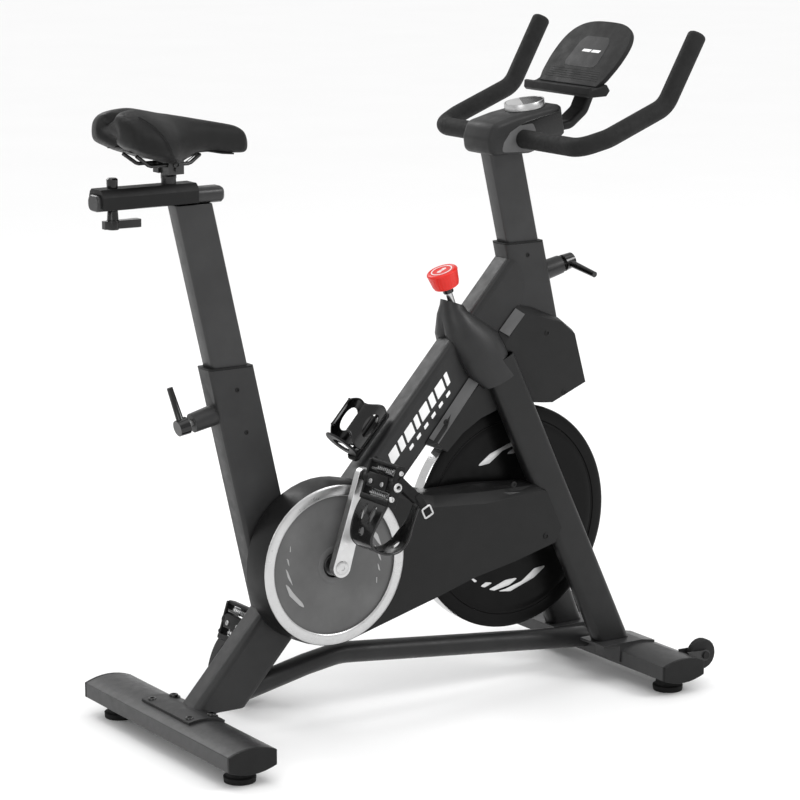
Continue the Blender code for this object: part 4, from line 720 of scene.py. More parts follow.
def polar_patch(pairs, centre, turn=0.0):
    """Outline in the side plane from (radius, degrees) pairs about a centre, its corners lightly eased."""
    pairs = np.asarray(pairs, float)
    angle = np.radians(pairs[:, 1] + turn)
    corners = np.stack([centre[0] + pairs[:, 0] * np.cos(angle), centre[2] + pairs[:, 0] * np.sin(angle)], 1)
    return eased_corners(corners, 3.0, 4, closed=True)


def beam_patch(pairs):
    """Outline in the side plane from (along, up) pairs measured on the beam."""
    pairs = np.asarray(pairs, float)
    corners = BEAM_START[[0, 2]] + pairs[:, :1] * BEAM_ALONG[[0, 2]] + pairs[:, 1:] * BEAM_UP[[0, 2]]
    return eased_corners(corners, 1.2, 3, closed=True)


class BIKE_OT_frame_tubes(Builder, bpy.types.Operator):
    """The frame's tubes with sleeve screws, base bolts and beam stripes"""
    bl_idname = "bike.frame_tubes"
    bl_label = "Frame tubes"

    def execute(self, context):
        copy_group("frame_tubes")
        proud = context.scene.bike_print.thickness * 1000
        stripes = []
        for place, wide in ((-16, 24), (14, 15), (35, 24), (65, 12), (83, 24), (113, 15), (134, 24),
                            (164, 10)):
            stripes.append([(place, 18), (place + wide, 18), (place + wide - 10, -3), (place - 10, -3)])
        thin = [[(place, -11), (place + 12, -11), (place + 9, -17), (place - 3, -17)]
                for place in range(20, 150, 24)]
        for side, word in SIDES:
            near, far = sorted((side * 27.9, side * (28.0 + proud)))
            parts = [side_slab(beam_patch(one), near, far, 0.1) for one in stripes + thin]
            piece("beam_stripes_" + word, joined(*parts), "white", "main_beam")
        screws = []
        for top, along, below in ((SEAT_SLEEVE_TOP, SEAT_ALONG, (39.0, 119.0)),
                                  (BAR_SLEEVE_TOP, BAR_ALONG, (22.5, 148.5))):
            for depth in below:
                for side in (-1, 1):
                    centre = top - along * depth + ACROSS * side * SLEEVE_WALL
                    screws.append(screw_head(centre, ACROSS * side, 4.2, 1.8))
        piece("sleeve_screws", joined(*screws), "socket", "seat_sleeve")
        places = [(x, y) for x in (-462, -418) for y in (-68, 68)]
        bolts = [screw_head((x, y, 71.5), (0, 0, 1), 8.5, 5.5) for x, y in places]
        washer = [(5, 0), (12, 0), (12, 1.2), (11.5, 1.6), (5, 1.6)]
        washers = [turned(washer, (x, y, 70.4), (0, 0, 1), 36) for x, y in places]
        piece("base_bolts", joined(*bolts), "gloss", "rear_stabiliser")
        piece("base_washers", joined(*washers), "dark_steel", "rear_stabiliser")
        return {"FINISHED"}


# Painted highlights on the spun guard disc: (radius, degrees) outlines of the silver streaks that stand for
# its reflections; each is also laid turned by 180 degrees.
GUARD_PAINTED_HIGHLIGHTS = [[(104, 191), (103, 205), (97, 222), (94, 229), (90, 222), (94, 205), (98, 196)],
                 [(102, 175), (97, 186), (90, 198), (91, 190), (96, 180)],
                 [(102.5, 165), (97, 171), (93.5, 174), (97, 167)],
                 [(103, 152.5), (99, 158.5), (97, 158), (101, 153)]]
WHEEL_STREAKS = [[(134, 308), (137, 292), (145.5, 269), (145.2, 257), (140, 264), (131.4, 280), (121, 296)],
                 [(122, 278), (133, 268), (144.4, 254), (145.4, 248), (135, 254), (123, 263)],
                 [(129.7, 251), (143.4, 244.5), (145.3, 240), (133.8, 243.5)],
                 [(139, 235.4), (144, 234), (143, 229.3), (139.5, 230.4)]]


class BIKE_OT_covers(Builder, bpy.types.Operator):
    """Belt guard with its spun disc, painted highlight streaks on the disc, its trim ring, the front shroud
    with its strips, and their screws
    """
    bl_idname = "bike.covers"
    bl_label = "Covers"

    def execute(self, context):
        copy_group("covers")
        proud = context.scene.bike_print.thickness * 1000
        disc = [(23, -79), (23, -82.6), (24, -83), (32, -83), (34.5, -82.2), (38, -81.3), (60, -81),
                (120, -81), (145.6, -81), (146.2, -80.6), (146.2, -78.5)]
        piece("spun_disc", turned([(r, -y) for r, y in disc], CRANK, -ACROSS, 160, ring=True), "disc",
              "guard_disc", ("guard_disc",))
        ring = [(126.5, 81.3), (126.5, 85.2), (127.6, 86.3), (130, 87), (142, 86.8), (146, 85.6),
                (146.7, 84.8), (146.7, 81.3)]
        piece("trim_ring", turned(ring, CRANK, -ACROSS, 192, ring=True), "trim", "guard_trim_ring",
              ("guard_trim_ring",))
        # Painted highlight: thin silver streaks on the disc face stand for its reflections.
        streaks = [side_slab(polar_patch(one, CRANK, turn), -81.0 - proud, -80.8, 0.1)
                   for one in GUARD_PAINTED_HIGHLIGHTS for turn in (0, 180)]
        piece("painted_disc_highlights", joined(*streaks), "painted_highlight_silver", "guard_disc")
        cup = [(10, 66), (10, 80), (11, 81.5), (15, 82.4), (19, 82.4), (20.5, 80.5), (20.5, 77), (22.6, 76),
               (22.6, 66)]
        piece("bearing_cup", turned(cup, CRANK, -ACROSS, 72, ring=True), "graphite", "guard_disc")
        lip = [(23.2, 82.9), (23.2, 83.8), (24.5, 84.4), (31, 84.4), (34, 83.2), (34.6, 82.4), (32, 82.6)]
        piece("disc_lip", turned(lip, CRANK, -ACROSS, 96, ring=True), "disc", "guard_disc")
        for x, z, y, word in ((224.2, 409.6, -80.5, "upper"), (296.4, 302.1, -85, "lower")):
            piece("guard_screw_" + word, screw_head((x, y, z), -ACROSS, 6.0, 2.0), "socket",
                  "belt_guard_cover")
        strips = [[(70, 506.5), (158, 609.5), (168.7, 600.4), (80.7, 497.4)],
                  [(226, 691), (262, 729.5), (272.5, 719.5), (237, 682)]]
        for side, word in SIDES:
            parts = []
            for (x1, z1), (x2, z2), (x3, z3), (x4, z4) in strips:
                corners = np.array([(x1, side * 29.2, z1), (x2, side * 29.2, z2), (x3, side * 44.2, z3),
                                    (x4, side * 44.2, z4)])
                lift = unit(np.cross(corners[1] - corners[0], corners[3] - corners[0])) * side
                parts.append(skin(np.array([corners - lift * 1.0, corners + lift * 2.0])))
            piece("shroud_strips_" + word, joined(*parts), "strip", "front_shroud")
            heads = [screw_head((x, side * 43.6, z), ACROSS * side, 5.5, 1.8)
                     for x, z in ((324, 679.4), (364.9, 562.6), (97.1, 536.5))]
            piece("shroud_screws_" + word, joined(*heads), "socket", "front_shroud")
        return {"FINISHED"}


class BIKE_OT_flywheel(Builder, bpy.types.Operator):
    """Chromed rim with its machined steps, black side covers with an edge groove, and silver streaks"""
    bl_idname = "bike.flywheel"
    bl_label = "Flywheel"

    def execute(self, context):
        rim = [(188.6, -15), (188.6, -17), (190, -18), (206, -18), (211, -16.5), (214.5, -12.5),
               (214.5, 12.5), (211, 16.5), (206, 18), (190, 18), (188.6, 17), (188.6, 15)]
        piece("chrome_rim", turned(rim, WHEEL, ACROSS, 220, ring=True), "chrome", "flywheel", ("flywheel",),
              angle=40)
        for side, word in SIDES:
            band = [(188.3, 17.0), (189.4, 18.2), (206.2, 18.2), (211.2, 16.8), (213.6, 13.9), (212.6, 13.6),
                    (205.9, 17.0)]
            piece("rim_band_" + word, turned(band, WHEEL, ACROSS * side, 220, ring=True), "wheel_face",
                  "flywheel")
            face = [(30, 13), (30, 16.2), (31.5, 17.4), (46, 17.4), (48, 16.9), (52, 16.6), (120, 16.8),
                    (172, 17.4), (183, 17.4), (184.4, 16.9), (185.6, 17.4), (187.6, 17.2), (188.2, 16.6),
                    (188.2, 13)]
            node = "flywheel_cover_" + word
            piece("wheel_face_" + word, turned(face, WHEEL, ACROSS * side, 200, ring=True), "wheel_face",
                  node, (node,))
            low, high = sorted((side * 16.9, side * 17.6))
            streaks = [side_slab(polar_patch(one, WHEEL, turn), low, high, 0.15)
                       for one in WHEEL_STREAKS for turn in (0, 180)]
            piece("wheel_streaks_" + word, joined(*streaks), "silver", node)
        return {"FINISHED"}


class BIKE_OT_brake(Builder, bpy.types.Operator):
    """Brake rod, ribbed red knob with a raised ring and arrows, and the felt pad"""
    bl_idname = "bike.brake"
    bl_label = "Brake"

    def execute(self, context):
        copy_group("brake")
        knob_height, collar_height = 32, 20
        seat = ROD_TOP - knob_height * ROD_DOWN
        axis = -ROD_DOWN
        side = unit(np.cross(ACROSS, axis))
        body = [(9, 0.2), (22, 0.5), (23.6, 1.6), (24.6, 5), (28.2, 26), (28.6, 27), (29.5, 29.6), (29, 31.6),
                (27.2, 33.2), (24.5, 33.9), (23.6, 33.3), (8, 33.4), (0.4, 33.5)]
        piece("red_knob", turned(body, seat, axis, 120), "red", "brake_knob", ("brake_knob",))
        ribs = []
        for angle in np.radians(np.arange(0, 360, 12)):
            spoke = math.cos(angle) * side + math.sin(angle) * ACROSS
            ribs.append(bar_between(seat + axis * 5 + spoke * 24.0, seat + axis * 26.5 + spoke * 27.6, 1.0,
                                    1.0, 0.5, 10))
        piece("knob_ribs", joined(*ribs), "red", "brake_knob")
        ring = [(18.2, 33.2), (18.2, 33.9), (20.2, 33.9), (20.2, 33.2)]
        marks = [turned(ring, seat, axis, 96, ring=True)]
        for turn in (0, 180):
            bar = np.array([(-9, 3), (5, 3), (5, 7), (12, 0.8), (-9, 0.8)], float) * (1 if turn == 0 else -1)
            marks.append(slab(bar, 33.2, 33.9, seat, side, ACROSS, axis, 0.1))
        piece("knob_marks", joined(*marks), "white", "brake_knob")
        collar = [(6.6, 0), (9.5, 0.4), (10.2, 2), (10.2, 9), (9, 10.4), (6.6, 10.6)]
        collar_at = ROD_TOP - collar_height * ROD_DOWN
        piece("rod_collar", turned(collar, collar_at, axis, 48, ring=True), "gloss", "brake_rod")
        return {"FINISHED"}


class BIKE_OT_console(Builder, bpy.types.Operator):
    """Console with paler cheeks, brushed dial whose glass top has a painted reflection on one half, and the
    ribbed media holder
    """
    bl_idname = "bike.console"
    bl_label = "Console"

    def execute(self, context):
        outline = eased_corners([(194, 1018), (190, 1048), (200, 1076), (250, 1089), (345, 1105), (353, 1101),
                                 (362, 1052), (346, 1038), (284, 1018)], 20, 8, closed=True)
        piece("console_body", side_slab(outline, -46.4, 46.4, 10), "console", "console_housing",
              ("console_housing",), angle=40)
        cheek = eased_corners([(216, 1024), (221, 1042), (235, 1060), (256, 1071), (286, 1074), (292, 1062),
                               (292, 1026), (284, 1022)], 7, 5, closed=True)
        panel = eased_corners([(243, 1046), (262, 1075), (300, 1084), (344, 1092), (350, 1088), (357, 1052),
                               (344, 1041), (292, 1030), (262, 1030)], 5, 5, closed=True)
        for side, word in SIDES:
            low, high = sorted((side * 36.0, side * 46.9))
            piece("console_cheek_" + word, side_slab(cheek, low, high, 0.8), "strip", "console_housing")
            low, high = sorted((side * 34.0, side * 46.7))
            piece("console_panel_" + word, side_slab(panel, low, high, 0.8), "console_dark",
                  "console_housing")
        axis = unit((-16, 0, 95))
        front = unit(np.cross(ACROSS, axis))
        dial_at = spot(300.5, 1097.5)
        band = [(20, 0.4), (37.2, 0.4), (37.5, 0.7), (37.5, 12.3), (37.2, 12.8), (35.4, 13.0), (35.0, 12.7),
                (35.0, 11.4), (20, 11.4)]
        piece("dial_band", turned(band, dial_at, axis, 144, ring=True), "trim", "console_dial",
              ("console_dial",))
        glass = [(34.8, 11.2), (34.8, 12.2), (34.5, 12.5), (0.4, 12.6)]
        piece("dial_glass", turned(glass, dial_at, axis, 120), "console_dark", "console_dial")
        # Painted reflection: a silver half disc laid over the dark glass top stands for the light that the
        # glass reflects.
        half = arc_points((0, 0), 34.0, 70, 232, 40)
        piece("dial_glass_reflection", slab(half, 12.4, 12.95, dial_at, front, ACROSS, axis, 0.1), "silver",
              "console_dial")
        rise = unit((104, 0, 118))
        normal = np.array([-rise[2], 0, rise[0]])
        foot = spot(399, 1134)
        turn = np.linspace(0, math.pi, 64)
        crest = np.stack([104 * np.sign(np.cos(turn)) * np.abs(np.cos(turn)) ** 0.68,
                          62 + 85 * np.abs(np.sin(turn)) ** 0.68], 1)
        base_line = np.array([(-103, 50), (-98, 22), (-90, 2), (-86, 0), (86, 0), (90, 2), (98, 22),
                              (103, 50)], float)
        panel_line = np.vstack([crest, base_line])
        piece("holder_panel", slab(panel_line, -5, 4.2, foot, ACROSS, rise, normal, 2.2), "holder",
              "media_holder", ("media_holder",))
        ledge = [(370, 1124), (375, 1119), (412, 1120), (420, 1130), (412, 1142), (399, 1136), (379, 1132),
                 (377, 1138), (371, 1137)]
        piece("holder_ledge", side_slab(eased_corners(ledge, 2, 3, closed=True), -101, 101, 1.2), "holder",
              "media_holder")
        stalk = eased_corners([(443, 0, 1166), (441, 0, 1122), (424, 0, 1086), (392, 0, 1062),
                               (352, 0, 1058)], 22, 8)
        piece("holder_arm", swept(stalk, rounded_box_line(16, 44, 6), side=ACROSS), "plastic", "media_holder")
        plate = eased_corners([(-50, 40), (50, 40), (44, 96), (34, 110), (-34, 110), (-44, 96)], 14, 8,
                              closed=True)
        piece("holder_plate", slab(plate, 3.6, 4.7, foot, ACROSS, rise, normal, 0.4), "holder_plate",
              "media_holder")
        bars = np.array([(-12, 0), (12, 0), (9, 6), (-15, 6)], float)
        marks = [slab(bars + np.array([u, 74]), 4.5, 4.95, foot, ACROSS, rise, normal, 0.1)
                 for u in (-20, 8)]
        piece("holder_marks", joined(*marks), "white", "media_holder")
        lines = [slab(rounded_box_line(160 - 4 * k, 1.6, 0.7) + np.array([0, 13.0 + 5 * k]), 3.6, 4.6, foot,
                      ACROSS, rise, normal, 0.3) for k in range(5)]
        piece("holder_ribs", joined(*lines), "holder", "media_holder")
        return {"FINISHED"}


SADDLE_HALF = [(-566, 60), (-555, 82), (-532, 93), (-503, 94), (-475, 80), (-448, 57), (-420, 39), (-390, 29),
               (-355, 24), (-320, 20), (-304, 16), (-294, 9)]
SADDLE_TOP = [(-566, 1142), (-535, 1144), (-450, 1128), (-366, 1114), (-294, 1101)]
SADDLE_BOTTOM = [(-566, 1086), (-535, 1077), (-500, 1067), (-462, 1050), (-440, 1049), (-405, 1059),
                 (-380, 1060), (-330, 1054), (-294, 1051)]
SADDLE_DROOP = [(-566, 10), (-545, 16), (-490, 21), (-440, 9), (-410, 3), (-390, 0)]


def saddle_rings(places, shrink, count=120):
    """Rings round the saddle: |y/a|^p + |z/b|^q shapes with drooping sides, drawn in near both ends."""
    places = np.asarray(places, float)
    half = through(SADDLE_HALF, places)
    top, bottom = through(SADDLE_TOP, places), through(SADDLE_BOTTOM, places)
    droop = through(SADDLE_DROOP, places)
    reach_back, reach_front = places - SADDLE_HALF[0][0], SADDLE_HALF[-1][0] - places
    near = np.clip(np.minimum(reach_back / 12, reach_front / 10), 0.0, 1.0)
    ease = np.sqrt(np.maximum(1 - (1 - near) ** 2, 0.0009))
    angle = np.linspace(0, 2 * np.pi, count, endpoint=False)
    c, s = np.cos(angle), np.sin(angle)
    across = np.sign(c) * np.abs(c) ** 0.66
    rise = np.sign(s) * np.abs(s) ** 0.66
    half = (half - shrink) * (0.66 + 0.34 * ease)
    tall = ((top - bottom) / 2 - shrink) * (0.62 + 0.38 * ease)
    y = half[:, None] * across
    z = ((top + bottom) / 2)[:, None] + tall[:, None] * rise - droop[:, None] * across**2
    nose = np.clip(1 - reach_front / 34, 0.0, 1.0)
    drop = 24 * (1 - np.sqrt(1 - 0.92 * nose**2))
    z = z - drop[:, None] * np.clip(0.5 + 0.6 * rise, 0.0, 1.0)
    valley = 7.0 * smooth_step(-places, 420, 540)
    z = z - valley[:, None] * np.exp(-((y / 13.0) ** 2)) * (rise > 0)
    notch = 17.0 * smooth_step(-places, 500, 566)
    x = places[:, None] + notch[:, None] * np.exp(-((y / 13.0) ** 2))
    return np.stack([x, y, z], -1)


def swell(thing, settings):
    """Remesh an object and let air pressure push its cover out, no further than a cap."""
    context = bpy.context
    for one in context.selected_objects:
        one.select_set(False)
    context.view_layer.objects.active = thing
    thing.select_set(True)
    remesh = thing.modifiers.new("even_grid", "REMESH")
    remesh.mode = "VOXEL"
    remesh.voxel_size = settings.voxel
    bpy.ops.object.modifier_apply(modifier=remesh.name)
    before = np.empty(len(thing.data.vertices) * 3)
    thing.data.vertices.foreach_get("co", before)
    cloth = thing.modifiers.new("cover", "CLOTH")
    cloth.settings.use_pressure = True
    cloth.settings.uniform_pressure_force = settings.pressure
    cloth.settings.effector_weights.gravity = 0.0
    cloth.settings.quality = 6
    cloth.settings.tension_stiffness = cloth.settings.compression_stiffness = 20
    cloth.settings.shear_stiffness = 12
    cloth.settings.bending_stiffness = 8
    for frame_number in range(1, 21):
        context.scene.frame_set(frame_number)
    bpy.ops.object.modifier_apply(modifier=cloth.name)
    context.scene.frame_set(1)
    after = np.empty_like(before)
    thing.data.vertices.foreach_get("co", after)
    moved = (after - before).reshape(-1, 3)
    far = np.linalg.norm(moved, axis=1, keepdims=True)
    limited = moved * np.minimum(1.0, settings.swell / np.maximum(far, 1e-9))
    thing.data.vertices.foreach_set("co", (before.reshape(-1, 3) + limited).ravel())
    thing.data.update()


class BIKE_OT_saddle(Builder, bpy.types.Operator):
    """Saddle padded by a cloth simulation, with panel seams, base, rails and clamp bolts"""
    bl_idname = "bike.saddle"
    bl_label = "Saddle"

    def execute(self, context):
        settings = context.scene.bike_saddle
        copy_group("saddle")
        places = np.concatenate([np.linspace(-565.8, -553, 8), np.linspace(-550, -306, 70),
                                 np.linspace(-304, -294.2, 8)])
        points, faces = skin(saddle_rings(places, 2.5))
        mesh = bpy.data.meshes.new("saddle_cover")
        mesh.from_pydata(metres(points).tolist(), [], faces)
        work = bmesh.new()
        work.from_mesh(mesh)
        bmesh.ops.recalc_face_normals(work, faces=work.faces)
        work.to_mesh(mesh)
        work.free()
        cover = bpy.data.objects.new("saddle_cover", mesh)
        context.scene.collection.objects.link(cover)
        swell(cover, settings)
        shade(cover.data, 70)
        dress(cover, FINISHES["leather"], "saddle", ("saddle_cushion",), 1)
        self.seams()
        bolts = [screw_head((-449.5, side * 28.6, 1046), ACROSS * side, 6, 3.2) for side in (-1, 1)]
        piece("clamp_bolts", joined(*bolts), "dark_steel", "saddle_clamp")
        return {"FINISHED"}

    def seams(self):
        """Piping carried over the cover along ring and length lines of the saddle's own surface."""
        rings = saddle_rings(np.linspace(-560, -300, 131), -0.4, 240)
        places = rings[:, 0, 0]
        for side, word in SIDES:
            x = np.linspace(-536, -404, 40)
            angle = through([(-536, 62), (-524, 46), (-500, 8), (-470, -24), (-440, -44), (-404, -58)], x)
            columns = (angle if side > 0 else 180 - angle) / 360 * 240
            rows = np.clip(np.searchsorted(places, x), 1, len(places) - 1)
            line = rings[rows, np.round(columns).astype(int) % 240]
            line[1:-1] = (line[:-2] + line[1:-1] + line[2:]) / 3
            seam = swept(line, superellipse(0.9, 0.9, 10), side=(0, 0, 1))
            piece("cover_seam_" + word, seam, "leather", "saddle_cushion")


class BIKE_OT_handlebar(Builder, bpy.types.Operator):
    """Handlebar post and pin, and foam grips carried along the bent bar"""
    bl_idname = "bike.handlebar"
    bl_label = "Handlebar"

    def execute(self, context):
        copy_group("handlebar")
        for side, word in SIDES:
            corners = np.array([(265, 40, 1046), (264, 218, 1046), (312, 238, 1062), (440, 238, 1112),
                                (508, 239, 1233)], float)
            corners[:, 1] *= side
            route = eased_corners(corners, 52, 14)
            steps = np.cumsum(np.r_[0, np.linalg.norm(np.diff(route, axis=0), axis=1)])
            even = np.linspace(0, steps[-1], 150)
            route = np.stack([np.interp(even, steps, route[:, axis]) for axis in range(3)], 1)
            ahead = unit(route[-1] - route[-2])
            tip = route[-1] + ahead * np.array([3.0, 6.0, 8.0, 8.9])[:, None]
            sizes = np.r_[0.965, 0.99, np.ones(len(route) - 2), 0.97, 0.86, 0.66, 0.3]
            foam = swept(np.vstack([route, tip]), superellipse(17.3, 17.3, 44), side=(0, 0, 1), sizes=sizes)
            piece("foam_grip_" + word, foam, "grip", "grip_" + word, ("grip_" + word,))
        return {"FINISHED"}


def sheet_with_holes(centre_line, halves, holes, across_axis, thickness, rows=120, columns=48):
    """Thin closed band: a line carried sideways by a varying half width, with oval holes cut out.

    holes holds (place along, place across, half along, half across); grid points that fall near an
    oval are drawn onto it, the cells inside are left out, and the rest is thickened by its normals.
    """
    line = np.asarray(centre_line, float)
    steps = np.cumsum(np.r_[0, np.linalg.norm(np.diff(line, axis=0), axis=1)])
    along = np.linspace(0, steps[-1], rows)
    share = np.linspace(-1, 1, columns)
    half = np.interp(along, steps, np.asarray(halves, float))
    u = np.broadcast_to(along[:, None], (rows, columns)).copy()
    v = half[:, None] * share[None]
    inside = np.zeros((rows, columns), bool)
    for at, over, reach_u, reach_v in holes:
        du, dv = (u - at) / reach_u, (v - over) / reach_v
        radius = np.hypot(du, dv)
        near = np.abs(radius - 1) * min(reach_u, reach_v) < 0.62 * along[1]
        pull = np.where(near, 1 / np.maximum(radius, 1e-6), 1.0)
        u, v = at + du * pull * reach_u, over + dv * pull * reach_v
        inside |= (radius < 1) & ~near
    points = np.stack([np.interp(u, steps, line[:, axis]) for axis in range(3)], -1)
    points = points + v[..., None] * np.asarray(across_axis, float)
    run = unit(np.gradient(points, axis=0))
    normal = unit(np.cross(np.asarray(across_axis, float), run))
    top, bottom = points + normal * thickness / 2, points - normal * thickness / 2
    r, c = np.arange(rows - 1)[:, None], np.arange(columns - 1)[None]
    quads = np.stack([r * columns + c, r * columns + c + 1, (r + 1) * columns + c + 1, (r + 1) * columns + c],
                     -1)
    out = inside[:-1, :-1] | inside[1:, :-1] | inside[:-1, 1:] | inside[1:, 1:]
    kept = quads[~out]
    size = rows * columns
    edges = np.concatenate([kept[:, [0, 1]], kept[:, [1, 2]], kept[:, [2, 3]], kept[:, [3, 0]]])
    key = np.sort(edges, 1) @ np.array([size, 1])
    values, first, counts = np.unique(key, return_index=True, return_counts=True)
    border = edges[first[counts == 1]]
    walls = np.stack([border[:, 1], border[:, 0], border[:, 0] + size, border[:, 1] + size], 1)
    faces = kept.tolist() + (kept[:, ::-1] + size).tolist() + walls.tolist()
    used = np.unique(np.concatenate([kept.ravel(), kept.ravel() + size]))
    renumber = np.full(2 * size, -1)
    renumber[used] = np.arange(len(used))
    both = np.vstack([top.reshape(-1, 3), bottom.reshape(-1, 3)])[used]
    return both, [[int(renumber[i]) for i in face] for face in faces]


def coil(start, end, radius, wire, turns, steps=14):
    """Spring: a circle stepped along its axis, with a round wire carried on it."""
    start, end = np.asarray(start, float), np.asarray(end, float)
    axis = unit(end - start)
    u_axis = unit(np.cross(axis, [0.3, 0.2, 0.9]))
    v_axis = np.cross(axis, u_axis)
    t = np.linspace(0, 1, turns * steps)[:, None]
    angle = t * turns * 2 * np.pi
    route = start + (end - start) * t + radius * (np.cos(angle) * u_axis + np.sin(angle) * v_axis)
    return swept(route, superellipse(wire, wire, 8), side=axis)


class BIKE_OT_pedals(Builder, bpy.types.Operator):
    """Pedals: axle barrel, cleat claws with springs, pierced toe clip, webbing strap and wire buckle"""
    bl_idname = "bike.pedals"
    bl_label = "Pedals"

    def execute(self, context):
        for side, word, centre in PEDALS:
            self.pedal(word, centre, side)
        return {"FINISHED"}

    def pedal(self, word, centre, side):
        node = "pedal_" + word
        across = ACROSS * side

        def at(toe, rise, over=0.0):
            return centre + toe * TOE + rise * FOOT + over * across

        def block(toe, rise, over, edge=1.0):
            line = eased_corners([(toe[0], rise[0]), (toe[1], rise[0]), (toe[1], rise[1]), (toe[0], rise[1])],
                                 3, 4, closed=True)
            return slab(line, over[0], over[1], centre, TOE, FOOT, across, edge)

        barrel = [turned([(9, -60), (10, -59), (10, -50), (13, -48), (13.5, -30), (11, -26), (11, 26),
                          (13.5, 30), (13.5, 45), (10, 47)], centre, across, 48)]
        plates = [block((-34, 38), (-12, 6), (-46, -40)), block((-34, 38), (-12, 6), (40, 46)),
                  block((-36, -29), (-9, 7), (-44, 44)), block((28, 38), (-14, -2), (-44, 44)),
                  block((-12, 14), (-16, -12), (-30, 30)), block((-30, -12), (9, 12), (-24, 24)),
                  block((14, 34), (8, 12), (-26, 26)), block((-4, 6), (8, 14), (-34, -22)),
                  block((-4, 6), (8, 14), (22, 34))]
        piece("pedal_body_" + word, joined(*barrel, *plates), "plastic", node, (node,))
        claws = [block((-24, -14), (11.5, 15), (-15, 15), 0.6), block((16, 30), (11.5, 14.5), (-17, 17), 0.6),
                 block((-22, -17), (-20, -16), (-20, 20), 0.6)]
        piece("pedal_claws_" + word, joined(*claws), "gloss", node)
        springs = [coil(at(-21, -1, -26), at(-21, -1, 26), 5.2, 1.2, 9),
                   coil(at(22, -1, -26), at(22, -1, 26), 5.2, 1.2, 9)]
        piece("pedal_springs_" + word, joined(*springs), "steel", node)
        heads = (((1.4, -2, 45.6), across, 8.6, 4.2), ((24, -8, 45.6), across, 5.4, 3.0),
                 ((-24, -2, 45.6), across, 4.6, 2.6),
                 ((-18, 14.6, 9), FOOT, 3.2, 2.0), ((-18, 14.6, -9), FOOT, 3.2, 2.0),
                 ((4, -15.6, 18), -FOOT, 4.6, 2.4), ((4, -15.6, -18), -FOOT, 4.6, 2.4))
        bolts = [screw_head(at(*place), way, radius, height) for place, way, radius, height in heads]
        bolts.append(turned([(7, -78), (7.6, -77), (7.6, -61), (7, -60)], centre, across, 40))
        piece("pedal_bolts_" + word, joined(*bolts), "steel", node)
        route = [(34, -8, 40), (52, -14, 40), (72, -18, 38), (92, -20, 34), (108, -16, 32), (118, -4, 30),
                 (122, 16, 28), (120, 34, 27), (112, 52, 25), (98, 64, 22), (82, 70, 18), (66, 74, 12),
                 (48, 78, 8), (26, 81, 7.5)]
        knots = np.linspace(0, 1, len(route))
        fine = through(np.column_stack([knots, np.array(route, float)]), np.linspace(0, 1, 90))
        line = centre + fine[:, :1] * TOE + fine[:, 1:2] * FOOT
        holes = [(26, -14, 16, 6), (26, 14, 16, 6), (60, 0, 8, 8), (112, -13, 19, 7), (112, 13, 19, 7),
                 (158, 0, 12, 6.5)]
        piece("toe_clip_" + word, sheet_with_holes(line, fine[:, 2], holes, across, 3.4), "gloss", node,
              angle=50)
        edges = [swept(line + (fine[:, 2:] * hand) * across, superellipse(2.6, 2.6, 12), side=across)
                 for hand in (-1, 1)]
        piece("toe_clip_rims_" + word, joined(*edges), "gloss", node)
        corners = np.array([(-46, -4), (-49.5, 40), (-37, 72), (0, 84), (37, 72), (49.5, 40), (46, -4)],
                           float)
        loop = eased_corners(corners, 22, 8)
        slant = -20 + 0.5 * loop[:, 1:] + 0.22 * side * loop[:, :1]
        path = centre + slant * TOE + loop[:, :1] * ACROSS + loop[:, 1:] * FOOT
        piece("toe_strap_" + word, swept(path, rounded_box_line(3.0, 18, 1.2, 3), side=TOE), "strap", node)
        tail = [at(6, 40, 50.5), at(18, 54, 52), at(30, 66, 54), at(42, 76, 55)]
        piece("strap_tail_" + word, swept(tail, rounded_box_line(2.0, 12, 0.9, 3), side=FOOT), "strap", node)
        frame_line = np.array(eased_corners([(-9, -8), (9, -8), (9, 10), (-9, 10)], 3, 4, closed=True))
        along = unit(np.array(at(42, 76)) - at(18, 54))
        sideways = unit(np.cross(across, along))
        hoop = at(30, 66, 55.8) + frame_line[:, :1] * sideways + frame_line[:, 1:] * along
        ring = np.vstack([hoop, hoop[:1]])
        piece("buckle_" + word, swept(ring, superellipse(1.9, 1.9, 12), side=across), "steel", node)


